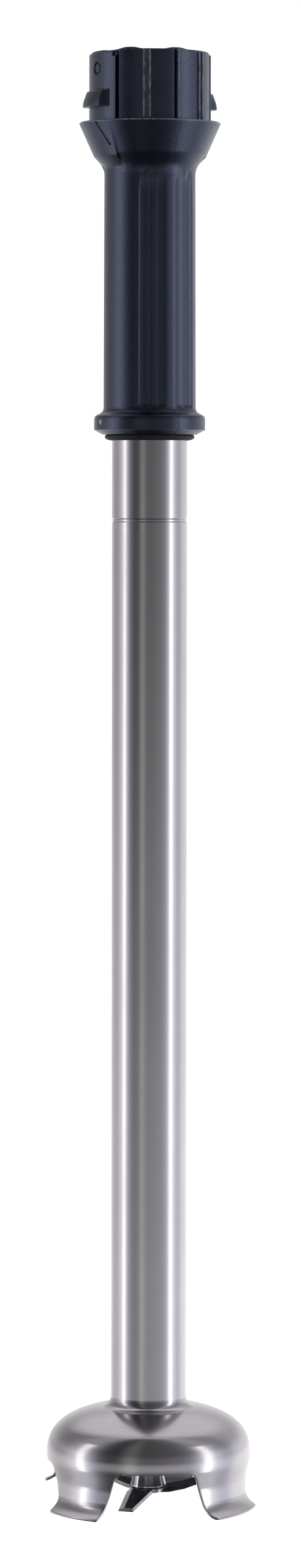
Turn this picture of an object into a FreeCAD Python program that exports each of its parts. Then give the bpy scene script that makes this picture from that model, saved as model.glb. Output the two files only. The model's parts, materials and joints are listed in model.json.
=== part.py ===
import FreeCAD, Part
import math
import os

import Sketcher

# Detachable blending arm of a professional immersion blender.
# Frame: +Z along the tube towards the motor unit, origin on the tube axis in the plane of the collar rim,
# where the motor unit seats.  Angles are measured about +Z from -Y, positive towards +X.

SIZES = {
    # coupling head above the collar
    "head_radius": 31.0, "head_floor_radius": 30.3, "head_top": 36.0, "head_chamfer": 1.4,
    "bore_radius": 25.0, "bore_depth": 6.0, "bore_chamfer": 0.8,
    "flange_radius": 31.9, "flange_top": 3.2, "flange_foot": 5.2,
    "head_cone_radius": 25.0, "head_cone_depth": 17.4, "head_base_radius": 21.5, "head_base": 20.0,
    "dog_pocket_radius": 13.0,
    "panel_angle": 117.0, "panel_half": 30.0, "panel_top": 35.2, "panel_foot": 0.3,
    "crest_rise": 0.9, "crest_wall": 2.2,
    "rib_width": 1.1, "rib_top": 33.6, "rib_pitch": 30.0, "twin_rib_gap": 2.9,
    "lug_radius": 35.1, "lug_half": 21.0, "lug_foot": 7.2, "lug_top": 16.6, "lug_slope": 3.0,
    "dimple_radius": 3.4, "dimple_depth": 0.7, "dimple_height": 26.6, "dimple_boss": 2.4,
    "head_screw_circle": 17.0, "head_screw_radius": 2.0, "head_screw_cap": 3.5, "head_screw_cap_depth": 3.0,
    "head_screw_length": 19.0,
    # grip shells: collar, grip and bottom ring
    "shell_angle": 117.0, "rim_radius": 36.1, "rim_bore": 31.15, "rim_edge": 0.5,
    "cone_radius": 29.3, "cone_foot": 14.5, "neck_radius": 23.2, "neck_foot": 27.0,
    "cone_panel_radius": 28.4, "cone_panel_foot": 17.4, "cone_panel_half": 28.0,
    "neck_mid_radius": 24.7, "neck_mid": 20.6,
    "grip_foot_radius": 23.5, "grip_foot": 143.8, "flare_radius": 25.3, "flare": 147.1,
    "ring_shoulder_radius": 28.1, "ring_shoulder": 149.2, "ring_radius": 28.3,
    "ring_top": 150.3, "ring_foot": 156.5, "shell_foot_radius": 24.0, "shell_foot": 158.8,
    "grip_cavity_radius": 20.6, "tube_clamp_radius": 19.15, "cavity_top": 34.0, "cavity_foot": 138.0,
    "cone_wall": 3.0, "cavity_neck": 25.5, "ledge_gap": 3.0, "flange_gap": 0.15,
    "flute_a_angle": 57.5, "flute_a_radius": 4.5, "flute_a_sink": 1.05,
    "flute_b_angle": 77.5, "flute_b_radius": 3.6, "flute_b_sink": 0.6,
    "flute_top": 27.0, "flute_foot": 141.0,
    "arrow_angle": 17.5, "arrow_half": 3.0, "arrow_top": 1.6, "arrow_foot": 12.4, "arrow_sink": 0.35,
    "arrow_slot": 1.1, "arrow_slot_sink": 0.9,
    "pin_radius": 1.5, "pin_height": 152.6, "pin_sink": 0.15,
    "seal_ring_radius": 22.8, "seal_ring_foot": 161.0, "seal_ring_lip": 161.8,
    # tubes
    "tube_radius": 19.05, "tube_bore": 17.45, "upper_tube_top": 26.0, "upper_tube_foot": 201.6,
    "main_tube_top": 203.2, "main_tube_foot": 647.0, "tube_edge": 0.25,
    "sleeve_radius": 17.4, "sleeve_bore": 15.9, "sleeve_ring_radius": 18.45, "sleeve_reach": 19.2,
    # upper bearing housing
    "housing_radius": 17.35, "housing_flange_radius": 20.2, "housing_flange_top": 20.5,
    "housing_foot": 60.0, "housing_bore": 11.5, "gasket_radius": 20.2, "gasket_hole": 14.6,
    "upper_seat_radius": 14.02, "upper_seat_top": 34.0, "upper_seat_foot": 42.0,
    "circlip_groove_radius": 14.9, "circlip_thickness": 1.2, "circlip_bore": 11.8,
    "shield_top": 23.0, "shield_foot": 25.0, "shield_bore": 6.4,
    # shaft and drive
    "shaft_radius": 5.0, "journal_radius": 6.0, "collar_radius": 7.4, "dog_seat_radius": 4.0,
    "shaft_top": 14.3, "dog_seat_foot": 20.0, "collar_foot": 45.0,
    "shaft_shoulder": 659.0, "shaft_end_radius": 4.0, "shaft_foot": 693.6, "shaft_thread_radius": 2.5,
    "shaft_thread_top": 676.0,
    "dog_radius": 11.0, "dog_top": 7.6, "dog_foot": 19.6, "dog_socket_radius": 5.6, "dog_socket_depth": 6.5,
    "dog_tooth_count": 6.0, "dog_tooth_radius": 1.6,
    "drive_pin_radius": 1.25, "drive_pin_height": 16.8, "drive_pin_reach": 9.0,
    "shaft_clip_thickness": 0.9, "shaft_clip_rise": 1.9,
    # ball bearings: 12 x 28 x 8 above, 10 x 26 x 8 below
    "ball_radius": 2.3, "race_radius": 2.42, "ring_step": 1.25, "cage_half": 0.75, "cage_height": 5.4,
    "pocket_radius": 2.38,
    "upper_pitch": 10.0, "upper_outer_radius": 14.0, "lower_pitch": 9.0, "lower_outer_radius": 13.0,
    "bearing_width": 8.0,
    # shaft guides
    "guide_bore": 5.06, "guide_bush_radius": 8.0, "guide_flange_radius": 9.6, "guide_half": 9.0,
    "guide_flange": 1.5, "carrier_half": 6.5, "upper_guide": 262.0, "lower_guide": 452.0,
    # lower bearing housing and seal
    "lower_housing_top": 622.0, "lower_housing_foot": 656.0, "lower_housing_bore": 10.0,
    "lower_seat_radius": 13.02, "lower_seat_top": 636.0, "lower_seat_foot": 644.0,
    "lower_clip_groove_radius": 13.9, "lower_clip_bore": 10.9,
    "cord_ring_radius": 0.95, "cord_ring_path": 16.45, "cord_ring_height": 651.2, "cord_groove": 2.1,
    "seal_top": 646.4, "seal_foot": 653.4, "seal_lip_radius": 5.05, "seal_shell": 1.0,
    "garter_path": 6.9, "garter_wire": 0.5,
    "cover_radius": 17.3, "cover_foot": 657.5, "cover_hole": 5.6,
    # bell guard
    "sheet": 1.5, "weld_fillet": 5.5, "dome_radius": 51.7, "dome_rise": 25.0, "dome_height": 676.5,
    "dome_power": 2.5, "skirt_radius": 49.6, "skirt_top": 689.0, "skirt_foot": 695.8,
    "lip_radius": 55.5, "lip_foot": 703.1,
    "window_top": 679.6, "window_corner": 3.0,
    "short_foot_rise": 9.0, "short_foot_angle": -119.0, "short_foot_half": 16.0,
    # blade
    "hub_top": 659.2, "hub_neck_radius": 6.6, "hub_neck_foot": 671.0, "hub_shoulder_radius": 9.4,
    "hub_shoulder": 675.0, "hub_waist_radius": 7.9, "hub_waist": 686.0, "hub_radius": 9.1, "hub_rim": 693.0,
    "hub_foot": 694.0, "hub_bore": 4.02,
    "blade_thickness": 2.0, "blade_reach": 33.5, "blade_disc": 9.8, "blade_bend": 9.4,
    "blade_root_lead": 8.2, "blade_root_trail": 5.6, "blade_tip_half": 3.9,
    "blade_bevel": 3.2, "blade_edge": 0.35,
    "screw_head_radius": 5.2, "screw_shank_radius": 2.45, "screw_slot": 1.2,
}

WINDOWS = (  # centre angle, half angle at the top, half angle at the lip
    (4.3, 22.5, 32.3),
    (-85.0, 14.5, 20.0),
    (118.2, 29.0, 35.2),
    (-150.0, 12.0, 15.5),
)

WINGS = (  # direction of the wing, height of its tip above the blade's disc, 1 for straight to 2 for curling
    (-20.0, -5.2, 1.0),
    (98.0, 6.4, 1.6),
    (-142.0, 2.4, 1.4),
)

doc = FreeCAD.newDocument("blending_arm")
sheet = doc.addObject("Spreadsheet::Sheet", "Sizes")
for row, (alias, amount) in enumerate(SIZES.items(), start=1):
    sheet.set(f"A{row}", alias)
    sheet.set(f"B{row}", str(amount))
    sheet.setAlias(f"B{row}", alias)
doc.recompute()

sub_parts = []


class Size:
    """A number that remembers the spreadsheet expression it comes from."""

    def __init__(self, value, text):
        self.value = value
        self.text = text

    @staticmethod
    def of(item):
        return item if isinstance(item, Size) else Size(float(item), f"({float(item)})")

    def _with(self, other, sign, value):
        return Size(value, f"({self.text} {sign} {other.text})")

    def __add__(self, other):
        other = Size.of(other)
        return self._with(other, "+", self.value + other.value)

    def __sub__(self, other):
        other = Size.of(other)
        return self._with(other, "-", self.value - other.value)

    def __mul__(self, other):
        other = Size.of(other)
        return self._with(other, "*", self.value * other.value)

    def __truediv__(self, other):
        other = Size.of(other)
        return self._with(other, "/", self.value / other.value)

    def __neg__(self):
        return Size(-self.value, f"(0 - {self.text})")

    def sin(self):
        return Size(math.sin(math.radians(self.value)), f"sin({self.text})")

    def cos(self):
        return Size(math.cos(math.radians(self.value)), f"cos({self.text})")


def size(alias):
    return Size(SIZES[alias], f"Sizes.{alias}")


def number(alias):
    return SIZES[alias]


def polar(radius, angle):
    """Point of the XY plane at a radius, with the angle measured counter-clockwise from +X."""
    radius, angle = Size.of(radius), Size.of(angle)
    return radius * angle.cos(), radius * angle.sin()


def place(piece, turn=0.0, height=None):
    """Turns a piece about the tube axis and lifts it."""
    piece.Placement = FreeCAD.Placement(
        FreeCAD.Vector(0, 0, height.value if height else 0), FreeCAD.Rotation(FreeCAD.Vector(0, 0, 1), turn))
    if height:
        piece.setExpression("Placement.Base.z", height.text)


def keep(piece, label):
    piece.Label = label
    sub_parts.append(piece)
    return piece


def new_body(name):
    body = doc.addObject("PartDesign::Body", name)
    body.Label = name
    return body


def origin_plane(body, role):
    return next(item for item in body.Origin.OriginFeatures if item.Role == role)


def new_sketch(body, role, name, outward=None, turn=0.0):
    """Sketch on one of the body's own origin planes, moved along its normal and turned in the body."""
    sketch = body.newObject("Sketcher::SketchObject", name)
    sketch.AttachmentSupport = [(origin_plane(body, role), "")]
    sketch.MapMode = "FlatFace"
    rotation = FreeCAD.Rotation(FreeCAD.Vector(0, 1, 0), turn)
    distance = outward.value if outward else 0.0
    sketch.AttachmentOffset = FreeCAD.Placement(rotation.multVec(FreeCAD.Vector(0, 0, distance)), rotation)
    if outward and turn == 0.0:
        sketch.setExpression("AttachmentOffset.Base.z", outward.text)
    return sketch


def pin_point(sketch, limits, links, geometry, vertex, point):
    """Holds one vertex at a point whose coordinates follow the spreadsheet."""
    for kind, coordinate, axis in (("DistanceX", point[0], -2), ("DistanceY", point[1], -1)):
        coordinate = Size.of(coordinate)
        if abs(coordinate.value) < 1e-9:
            limits.append(Sketcher.Constraint("PointOnObject", geometry, vertex, axis))
            continue
        links.append((len(limits), coordinate.text))
        limits.append(Sketcher.Constraint(kind, -1, 1, geometry, vertex, coordinate.value))


def draw_outline(sketch, steps):
    """Closed outline: a start point, then points reached by a line, or (middle, end) pairs reached by an arc."""
    def vector(point):
        return FreeCAD.Vector(Size.of(point[0]).value, Size.of(point[1]).value, 0)

    first = steps[0]
    here = first
    ends, limits, links = [], [], []
    closed_by_arc = isinstance(steps[-1][0], tuple)
    for step in steps[1:] + ([] if closed_by_arc else [first]):
        if isinstance(step[0], tuple):
            middle, there = step
            start, via, stop = vector(here), vector(middle), vector(there)
            clockwise = (via - start).cross(stop - via).z < 0
            arc = Part.Arc(stop, via, start) if clockwise else Part.Arc(start, via, stop)
            index = sketch.addGeometry(arc, False)
            ends.append((index, 2, 1) if clockwise else (index, 1, 2))
            on_arc = sketch.addGeometry(Part.Point(via), True)
            pin_point(sketch, limits, links, on_arc, 1, middle)
            limits.append(Sketcher.Constraint("PointOnObject", on_arc, 1, index))
        else:
            there = step
            index = sketch.addGeometry(Part.LineSegment(vector(here), vector(there)), False)
            ends.append((index, 1, 2))
        pin_point(sketch, limits, links, ends[-1][0], ends[-1][1], here)
        here = there
    for before, after in zip(ends, ends[1:] + ends[:1]):
        limits.append(Sketcher.Constraint("Coincident", before[0], before[2], after[0], after[1]))
    sketch.addConstraint(limits)
    for index, text in links:
        sketch.setExpression(f"Constraints[{index}]", text)


def draw_circle(sketch, centre, radius):
    where = FreeCAD.Vector(Size.of(centre[0]).value, Size.of(centre[1]).value, 0)
    circle = sketch.addGeometry(Part.Circle(where, FreeCAD.Vector(0, 0, 1), radius.value), False)
    limits, links = [], []
    pin_point(sketch, limits, links, circle, 3, centre)
    links.append((len(limits), radius.text))
    limits.append(Sketcher.Constraint("Radius", circle, radius.value))
    base = sketch.ConstraintCount
    sketch.addConstraint(limits)
    for index, text in links:
        sketch.setExpression(f"Constraints[{base + index}]", text)


def revolve(body, steps, degrees=360.0, name="Turned"):
    """Turns an outline of (radius, height) points about Z, evenly to both sides of +X when not full."""
    sketch = new_sketch(body, "XZ_Plane", body.Name + name + "Outline")
    draw_outline(sketch, steps)
    feature = body.newObject("PartDesign::Revolution", body.Name + name)
    feature.Profile = sketch
    feature.ReferenceAxis = (sketch, ["V_Axis"])
    feature.Angle = degrees
    feature.Midplane = degrees < 360.0
    return feature


def turned(name, steps):
    body = new_body(name)
    revolve(body, steps)
    return keep(body, name)


def pad(body, sketch, length, name):
    feature = body.newObject("PartDesign::Pad", name)
    feature.Profile = sketch
    feature.Length = length.value
    feature.setExpression("Length", length.text)
    return feature


def pocket(body, sketch, length, name, reversed_way=False):
    feature = body.newObject("PartDesign::Pocket", name)
    feature.Profile = sketch
    feature.Length = length.value
    feature.setExpression("Length", length.text)
    feature.Reversed = reversed_way
    return feature


def around_axis(body, features, count, name):
    """Repeats features evenly about the body's Z axis."""
    pattern = body.newObject("PartDesign::PolarPattern", name)
    pattern.Originals = features
    pattern.Axis = (next(item for item in body.Origin.OriginFeatures if item.Role == "Z_Axis"), [""])
    pattern.Angle = 360.0
    pattern.Occurrences = count
    body.Tip = pattern
    return pattern


def sector(radius_in, radius_out, angle, half):
    """Outline of a ring sector in the XY plane."""
    return [
        polar(radius_in, angle - half),
        polar(radius_out, angle - half),
        (polar(radius_out, angle), polar(radius_out, angle + half)),
        polar(radius_in, angle + half),
        (polar(radius_in, angle), polar(radius_in, angle - half)),
    ]


def ring_outline(bore, radius, top, foot):
    return [(bore, -foot), (radius, -foot), (radius, -top), (bore, -top)]


# ---------------------------------------------------------------- coupling head

def coupling_head():
    """Bayonet spigot of the arm; local +X is the middle of one raised panel and its lug."""
    body = new_body("coupling_head")
    top, chamfer = size("head_top"), size("head_chamfer")
    floor, base = size("head_floor_radius"), size("head_base")
    revolve(body, [
        (size("bore_radius"), -size("bore_depth")),
        (size("bore_radius"), top - size("bore_chamfer")),
        (size("bore_radius") + size("bore_chamfer"), top),
        (floor - chamfer, top),
        ((floor - chamfer * 0.3, top - chamfer * 0.3), (floor, top - chamfer)),
        (floor, -size("flange_top")),
        (size("flange_radius"), -size("flange_top")),
        (size("flange_radius"), -size("flange_foot")),
        (size("head_cone_radius") + 4.6, -size("flange_foot")),
        (size("head_cone_radius"), -size("head_cone_depth")),
        (size("head_base_radius"), -base),
        (size("dog_pocket_radius"), -base),
        (size("dog_pocket_radius"), -size("bore_depth")),
    ])
    inside = size("bore_radius") + 1.5
    panel = new_sketch(body, "XY_Plane", "PanelOutline", outward=size("panel_foot"))
    draw_outline(panel, sector(inside, size("head_radius"), Size.of(0), size("panel_half")))
    panels = [pad(body, panel, size("panel_top") - size("panel_foot"), "Panel")]
    lug_top, lug_foot, lug_radius = size("lug_top"), size("lug_foot"), size("lug_radius")
    panels.append(revolve(body, [
        (inside, lug_foot),
        (lug_radius - 0.5, lug_foot),
        (lug_radius, lug_foot + 0.6),
        (lug_radius - 0.2, lug_top - size("lug_slope")),
        ((lug_radius - 0.7, lug_top - size("lug_slope") * 0.45), (lug_radius - 1.8, lug_top - 0.4)),
        (inside, lug_top),
    ], degrees=2 * number("lug_half"), name="Lug"))
    for order, share in enumerate((2.0, 3.0, 4.0)):
        angle = size("rib_pitch") * share
        offsets = (0.0,) if share == 3.0 else (-0.5, 0.5)
        for side in offsets:
            panels.append(rib(body, f"Rib{order}{'ab'[side > 0]}", angle, side))
    for order, (angle, half) in enumerate(((43.5, 11.0), (89.0, 10.0))):
        crest = new_sketch(body, "XY_Plane", f"CrestOutline{order}", outward=top - 2)
        wall_in = floor - size("crest_wall") - 0.4
        draw_outline(crest, sector(wall_in, floor - 0.4, Size.of(angle), Size.of(half)))
        panels.append(pad(body, crest, size("crest_rise") + 2, f"Crest{order}"))
    around_axis(body, panels, 2, "BothSides")
    screws = new_sketch(body, "XY_Plane", "ScrewHole", outward=-size("bore_depth"))
    draw_circle(screws, polar(size("head_screw_circle"), Size.of(45)), size("head_screw_radius") + 0.15)
    hole = pocket(body, screws, size("head_base") - size("bore_depth"), "ScrewHoleCut")
    caps = new_sketch(body, "XY_Plane", "ScrewCap", outward=-size("bore_depth"))
    draw_circle(caps, polar(size("head_screw_circle"), Size.of(45)), size("head_screw_cap") + 0.2)
    sink = pocket(body, caps, size("head_screw_cap_depth") + 0.5, "ScrewCapCut")
    around_axis(body, [hole, sink], 4, "ScrewHoles")
    finger_mark(body)
    place(body, turn=number("panel_angle") - 90.0)
    return keep(body, "coupling_head")


def rib(body, name, angle, side):
    """Thin upright rib on the head; side shifts it half a gap to either side."""
    sketch = new_sketch(body, "XY_Plane", name + "Outline", outward=size("panel_foot"))
    half = size("rib_width") / 2
    shift = size("twin_rib_gap") * side
    across = angle
    inner, outer = size("head_floor_radius") - 1, size("head_radius") + 0.15

    def corner(out, along):
        along = along + shift
        return out * across.cos() - along * across.sin(), out * across.sin() + along * across.cos()

    draw_outline(sketch, [
        corner(inner, -half),
        corner(outer - 0.4, -half),
        (corner(outer, Size.of(0)), corner(outer - 0.4, half)),
        corner(inner, half),
    ])
    return pad(body, sketch, size("rib_top") - size("panel_foot"), name)


def finger_mark(body):
    """Round recess with a raised middle on each panel, above the lug."""
    cuts = []
    sketch = new_sketch(body, "YZ_Plane", "DimpleOutline", outward=size("head_radius") - size("dimple_depth"))
    draw_circle(sketch, (Size.of(0), size("dimple_height")), size("dimple_radius"))
    draw_circle(sketch, (Size.of(0), size("dimple_height")), size("dimple_boss"))
    cuts.append(pocket(body, sketch, size("dimple_depth") * 2, "Dimple", reversed_way=True))
    around_axis(body, cuts, 2, "Dimples")


def coupling_screws():
    """Four cap screws that hold the head to the bearing housing."""
    body = new_body("coupling_screws")
    sketch = new_sketch(body, "XY_Plane", "ShankOutline", outward=-(size("bore_depth") + 0.4))
    draw_circle(sketch, polar(size("head_screw_circle"), Size.of(45)), size("head_screw_radius"))
    shank = body.newObject("PartDesign::Pad", "Shank")
    shank.Profile = sketch
    shank.Length = number("head_screw_length")
    shank.setExpression("Length", size("head_screw_length").text)
    shank.Reversed = True
    cap = new_sketch(body, "XY_Plane", "CapOutline", outward=-(size("bore_depth") + size("head_screw_cap_depth")))
    draw_circle(cap, polar(size("head_screw_circle"), Size.of(45)), size("head_screw_cap"))
    head = pad(body, cap, size("head_screw_cap_depth") - 0.4, "Cap")
    drive = new_sketch(body, "XY_Plane", "KeyOutline", outward=-(size("bore_depth") + 0.4))
    draw_circle(drive, polar(size("head_screw_circle"), Size.of(45)), size("head_screw_radius") * 0.7)
    key = pocket(body, drive, size("head_screw_cap_depth") * 0.5, "Key")
    body.AllowCompound = True
    around_axis(body, [shank, head, key], 4, "FourScrews")
    place(body, turn=number("panel_angle") - 90.0)
    return keep(body, "coupling_screws")


# ---------------------------------------------------------------- grip

def grip_shell(label, turn):
    """Half of the grip moulding, from the collar rim to the bottom ring; local +X is its middle."""
    body = new_body(label + "_moulding")
    clamp = size("tube_clamp_radius")
    revolve(body, [
        (size("rim_bore"), Size.of(0)),
        (size("rim_radius") - size("rim_edge"), Size.of(0)),
        (size("rim_radius"), -size("rim_edge") * 0.6),
        (size("cone_radius"), -size("cone_foot")),
        ((size("neck_mid_radius"), -size("neck_mid")), (size("neck_radius"), -size("neck_foot"))),
        (size("grip_foot_radius"), -size("grip_foot")),
        (size("flare_radius"), -size("flare")),
        (size("ring_shoulder_radius"), -size("ring_shoulder")),
        (size("ring_radius"), -size("ring_top")),
        (size("ring_radius"), -size("ring_foot")),
        (size("shell_foot_radius"), -size("shell_foot")),
        (clamp, -size("shell_foot")),
        (clamp, -size("cavity_foot")),
        (size("grip_cavity_radius"), -(size("cavity_foot") - 1.5)),
        (size("grip_cavity_radius"), -(size("cavity_top") + 1.5)),
        (clamp, -size("cavity_top")),
        (clamp, -(size("upper_tube_top") + 0.3)),
        (size("grip_cavity_radius"), -(size("upper_tube_top") + 0.3)),
        (size("grip_cavity_radius"), -size("cavity_neck")),
        (size("cone_panel_radius") - size("cone_wall"), -size("cone_panel_foot")),
        (size("flange_radius") - 0.9, -(size("flange_foot") + size("flange_gap"))),
        (size("flange_radius") + size("flange_gap"), -(size("flange_foot") + size("flange_gap"))),
        (size("flange_radius") + size("flange_gap"), -size("ledge_gap")),
        (size("rim_bore"), -size("ledge_gap")),
    ], degrees=180.0)
    revolve(body, [
        (size("rim_radius") - 1.5, -size("rim_edge") * 0.6),
        (size("rim_radius") + 0.02, -size("rim_edge") * 0.6),
        (size("cone_panel_radius") + 0.1, -size("cone_panel_foot")),
        ((size("neck_mid_radius") + 0.2, -(size("neck_mid") + 0.6)),
         (size("neck_radius") + 0.05, -size("neck_foot"))),
        (size("neck_radius") - 1, -size("neck_foot")),
        (size("neck_mid_radius") - 1, -size("neck_mid")),
        (size("cone_panel_radius") - 1.8, -size("cone_panel_foot")),
    ], degrees=2 * number("cone_panel_half"), name="ConePanel")
    arrow_mark(body)
    hole = new_sketch(body, "YZ_Plane", "PinHole", outward=size("tube_clamp_radius") - 2)
    draw_circle(hole, (Size.of(0), -size("pin_height")), size("pin_radius") + 0.03)
    pocket(body, hole, size("ring_radius"), "PinHoleCut", reversed_way=True)
    tool = flutes(label)
    shell = doc.addObject("Part::Cut", label)
    shell.Base = body
    shell.Tool = tool
    place(shell, turn=turn)
    return keep(shell, label)


def arrow_mark(body):
    """Shallow triangular mark with one deep side, cut square into the flat of the collar cone."""
    turn = number("arrow_angle")
    slope = math.degrees(math.atan((number("rim_radius") - number("cone_panel_radius"))
                                   / number("cone_panel_foot")))
    height = (number("arrow_top") + number("arrow_foot")) / 2
    surface = number("rim_radius") - height * math.tan(math.radians(slope))
    out = FreeCAD.Vector(math.cos(math.radians(turn)), math.sin(math.radians(turn)), 0)
    tilt = FreeCAD.Rotation(FreeCAD.Vector(-out.y, out.x, 0), slope)
    face = FreeCAD.Rotation(FreeCAD.Vector(0, 0, 1), turn)
    upright = FreeCAD.Rotation(FreeCAD.Vector(1, 1, 1), 120)
    inward = upright.inverted()
    top, wide, slot = size("arrow_foot") / 2 - size("arrow_top") / 2, size("arrow_half"), size("arrow_slot")
    for name, depth, points in (
            ("Arrow", number("arrow_sink"), [(-wide, top), (-wide, -top), (wide, -top)]),
            ("ArrowSlot", number("arrow_slot_sink"),
             [(-wide - slot / 2, top), (wide - slot / 2, -top), (wide + slot / 2, -top), (slot / 2 - wide, top)])):
        base = out * (surface - depth) + FreeCAD.Vector(0, 0, -height)
        spot = FreeCAD.Placement(base, tilt.multiply(face).multiply(upright))
        sketch = body.newObject("Sketcher::SketchObject", name + "Outline")
        sketch.AttachmentSupport = [(origin_plane(body, "YZ_Plane"), "")]
        sketch.MapMode = "FlatFace"
        sketch.AttachmentOffset = FreeCAD.Placement(FreeCAD.Vector(), inward).multiply(spot)
        draw_outline(sketch, points)
        pocket(body, sketch, size("cone_wall"), name + "Cut", reversed_way=True)


def flutes(label):
    """Long round-ended cutters for the finger flutes beside both edges of one shell."""
    pieces = []
    for which, side in (("a", 1), ("b", 1), ("a", -1), ("b", -1)):
        angle, radius = size(f"flute_{which}_angle") * side, size(f"flute_{which}_radius")
        out = size("neck_radius") + radius - size(f"flute_{which}_sink")
        along, across = polar(out, angle)
        stick = doc.addObject("Part::Cylinder", f"{label}_flute_{which}")
        stick.setExpression("Radius", radius.text)
        stick.setExpression("Height", (size("flute_foot") - size("flute_top")).text)
        stick.setExpression("Placement.Base.x", along.text)
        stick.setExpression("Placement.Base.y", across.text)
        stick.setExpression("Placement.Base.z", (-size("flute_foot")).text)
        pieces.append(stick)
        for end in ("top", "foot"):
            ball = doc.addObject("Part::Sphere", f"{label}_flute_{which}_{end}")
            ball.setExpression("Radius", radius.text)
            ball.setExpression("Placement.Base.x", along.text)
            ball.setExpression("Placement.Base.y", across.text)
            ball.setExpression("Placement.Base.z", (-size(f"flute_{end}")).text)
            pieces.append(ball)
    tool = doc.addObject("Part::MultiFuse", f"{label}_flutes")
    tool.Shapes = pieces
    return tool


def grip_pins():
    """Two pins through the bottom ring that key the shells to the tube."""
    body = new_body("grip_pins")
    sketch = new_sketch(body, "YZ_Plane", "PinOutline", outward=size("tube_clamp_radius"))
    draw_circle(sketch, (Size.of(0), -size("pin_height")), size("pin_radius"))
    length = size("ring_radius") - size("tube_clamp_radius") - size("pin_sink")
    pin = pad(body, sketch, length, "Pin")
    body.AllowCompound = True
    around_axis(body, [pin], 2, "BothPins")
    place(body, turn=number("shell_angle") - 90.0)
    return keep(body, "grip_pins")


def grip_seal_ring():
    bore = size("tube_clamp_radius") - 0.05
    foot = size("seal_ring_foot")
    return turned("grip_seal_ring", [
        (bore, -size("shell_foot")),
        (size("seal_ring_radius") - 0.3, -size("shell_foot")),
        (size("seal_ring_radius"), -(size("shell_foot") + 0.4)),
        (size("seal_ring_radius"), -(foot - 0.5)),
        (size("seal_ring_radius") - 0.6, -foot),
        (bore + 1.4, -foot),
        (bore + 0.4, -size("seal_ring_lip")),
        (bore, -size("seal_ring_lip")),
    ])


# ---------------------------------------------------------------- tubes

def tube(label, top, foot, foot_edge):
    """Length of stainless tube with its outer edges broken; a welded foot has no broken edge."""
    bore, radius, edge = size("tube_bore"), size("tube_radius"), size("tube_edge")
    corner = [(radius, -foot)] if foot_edge is None else [(radius - edge, -foot), (radius, -(foot - edge))]
    return turned(label, [
        (bore, -foot),
        *corner,
        (radius, -(top + edge)),
        (radius - edge, -top),
        (bore, -top),
    ])


def tube_joint_sleeve():
    ring, radius, bore = size("sleeve_ring_radius"), size("sleeve_radius"), size("sleeve_bore")
    top, foot, reach = size("upper_tube_foot"), size("main_tube_top"), size("sleeve_reach")
    return turned("tube_joint_sleeve", [
        (bore, -(foot + reach)),
        (radius, -(foot + reach)),
        (radius, -foot),
        (ring, -foot),
        (ring, -top),
        (radius, -top),
        (radius, -(top - reach)),
        (bore, -(top - reach)),
    ])


# ---------------------------------------------------------------- upper bearing

def upper_bearing_housing():
    body = new_body("upper_bearing_housing")
    seat, groove = size("upper_seat_radius"), size("circlip_groove_radius")
    clip_foot = size("upper_seat_top")
    clip_top = clip_foot - size("circlip_thickness") - 0.1
    revolve(body, [
        (seat, -size("housing_flange_top")),
        (size("housing_flange_radius"), -size("housing_flange_top")),
        (size("housing_flange_radius"), -size("upper_tube_top")),
        (size("housing_radius"), -size("upper_tube_top")),
        (size("housing_radius"), -size("housing_foot")),
        (size("housing_bore"), -size("housing_foot")),
        (size("housing_bore"), -size("upper_seat_foot")),
        (seat, -size("upper_seat_foot")),
        (seat, -clip_foot),
        (groove, -clip_foot),
        (groove, -clip_top),
        (seat, -clip_top),
    ])
    sketch = new_sketch(body, "XY_Plane", "TapHole", outward=-size("housing_flange_top"))
    draw_circle(sketch, polar(size("head_screw_circle"), Size.of(45)), size("head_screw_radius") + 0.02)
    depth = size("bore_depth") + 0.4 + size("head_screw_length") - size("housing_flange_top") + 0.3
    hole = pocket(body, sketch, depth, "TapHoleCut")
    around_axis(body, [hole], 4, "TapHoles")
    place(body, turn=number("panel_angle") - 90.0)
    return keep(body, "upper_bearing_housing")


def flange_gasket():
    body = new_body("flange_gasket")
    revolve(body, ring_outline(size("gasket_hole"), size("gasket_radius"), size("head_base"),
                               size("housing_flange_top")))
    sketch = new_sketch(body, "XY_Plane", "GasketHole", outward=-size("head_base"))
    draw_circle(sketch, polar(size("head_screw_circle"), Size.of(45)), size("head_screw_radius") + 0.1)
    hole = pocket(body, sketch, size("housing_flange_top") - size("head_base"), "GasketHoleCut")
    around_axis(body, [hole], 4, "GasketHoles")
    place(body, turn=number("panel_angle") - 90.0)
    return keep(body, "flange_gasket")


def dust_shield():
    seat = size("upper_seat_radius") - 0.02
    top, foot, bore = size("shield_top"), size("shield_foot"), size("shield_bore")
    return turned("dust_shield", [
        (bore, -foot),
        (seat, -foot),
        (seat, -(top - 1.2)),
        (seat - 0.8, -(top - 1.2)),
        (seat - 0.8, -top),
        (bore, -top),
    ])


def housing_circlip(label, groove_radius, bore, top):
    """Internal circlip: an open ring with two lugs."""
    body = new_body(label)
    thick = size("circlip_thickness")
    revolve(body, ring_outline(bore, groove_radius - 0.1, top, top + thick))
    gap = new_sketch(body, "XY_Plane", label + "Gap", outward=-top)
    half = Size.of(14)
    draw_outline(gap, sector(bore - 1, groove_radius + 1, Size.of(0), half))
    pocket(body, gap, thick, label + "GapCut")
    ears = new_sketch(body, "XY_Plane", label + "EyeHole", outward=-top)
    for side in (-1, 1):
        draw_circle(ears, polar((bore + groove_radius) / 2, half * (1.75 * side)), Size.of(0.6))
    pocket(body, ears, thick, label + "EyeHoleCut")
    return keep(body, label)


# ---------------------------------------------------------------- ball bearings

def radial_hole(spot, reach):
    """Cylinder through a point, along its direction from the axis."""
    out = FreeCAD.Vector(spot.x, spot.y, 0).normalize()
    return Part.makeCylinder(number("pocket_radius"), reach * 2, spot - out * reach, out)


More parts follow.
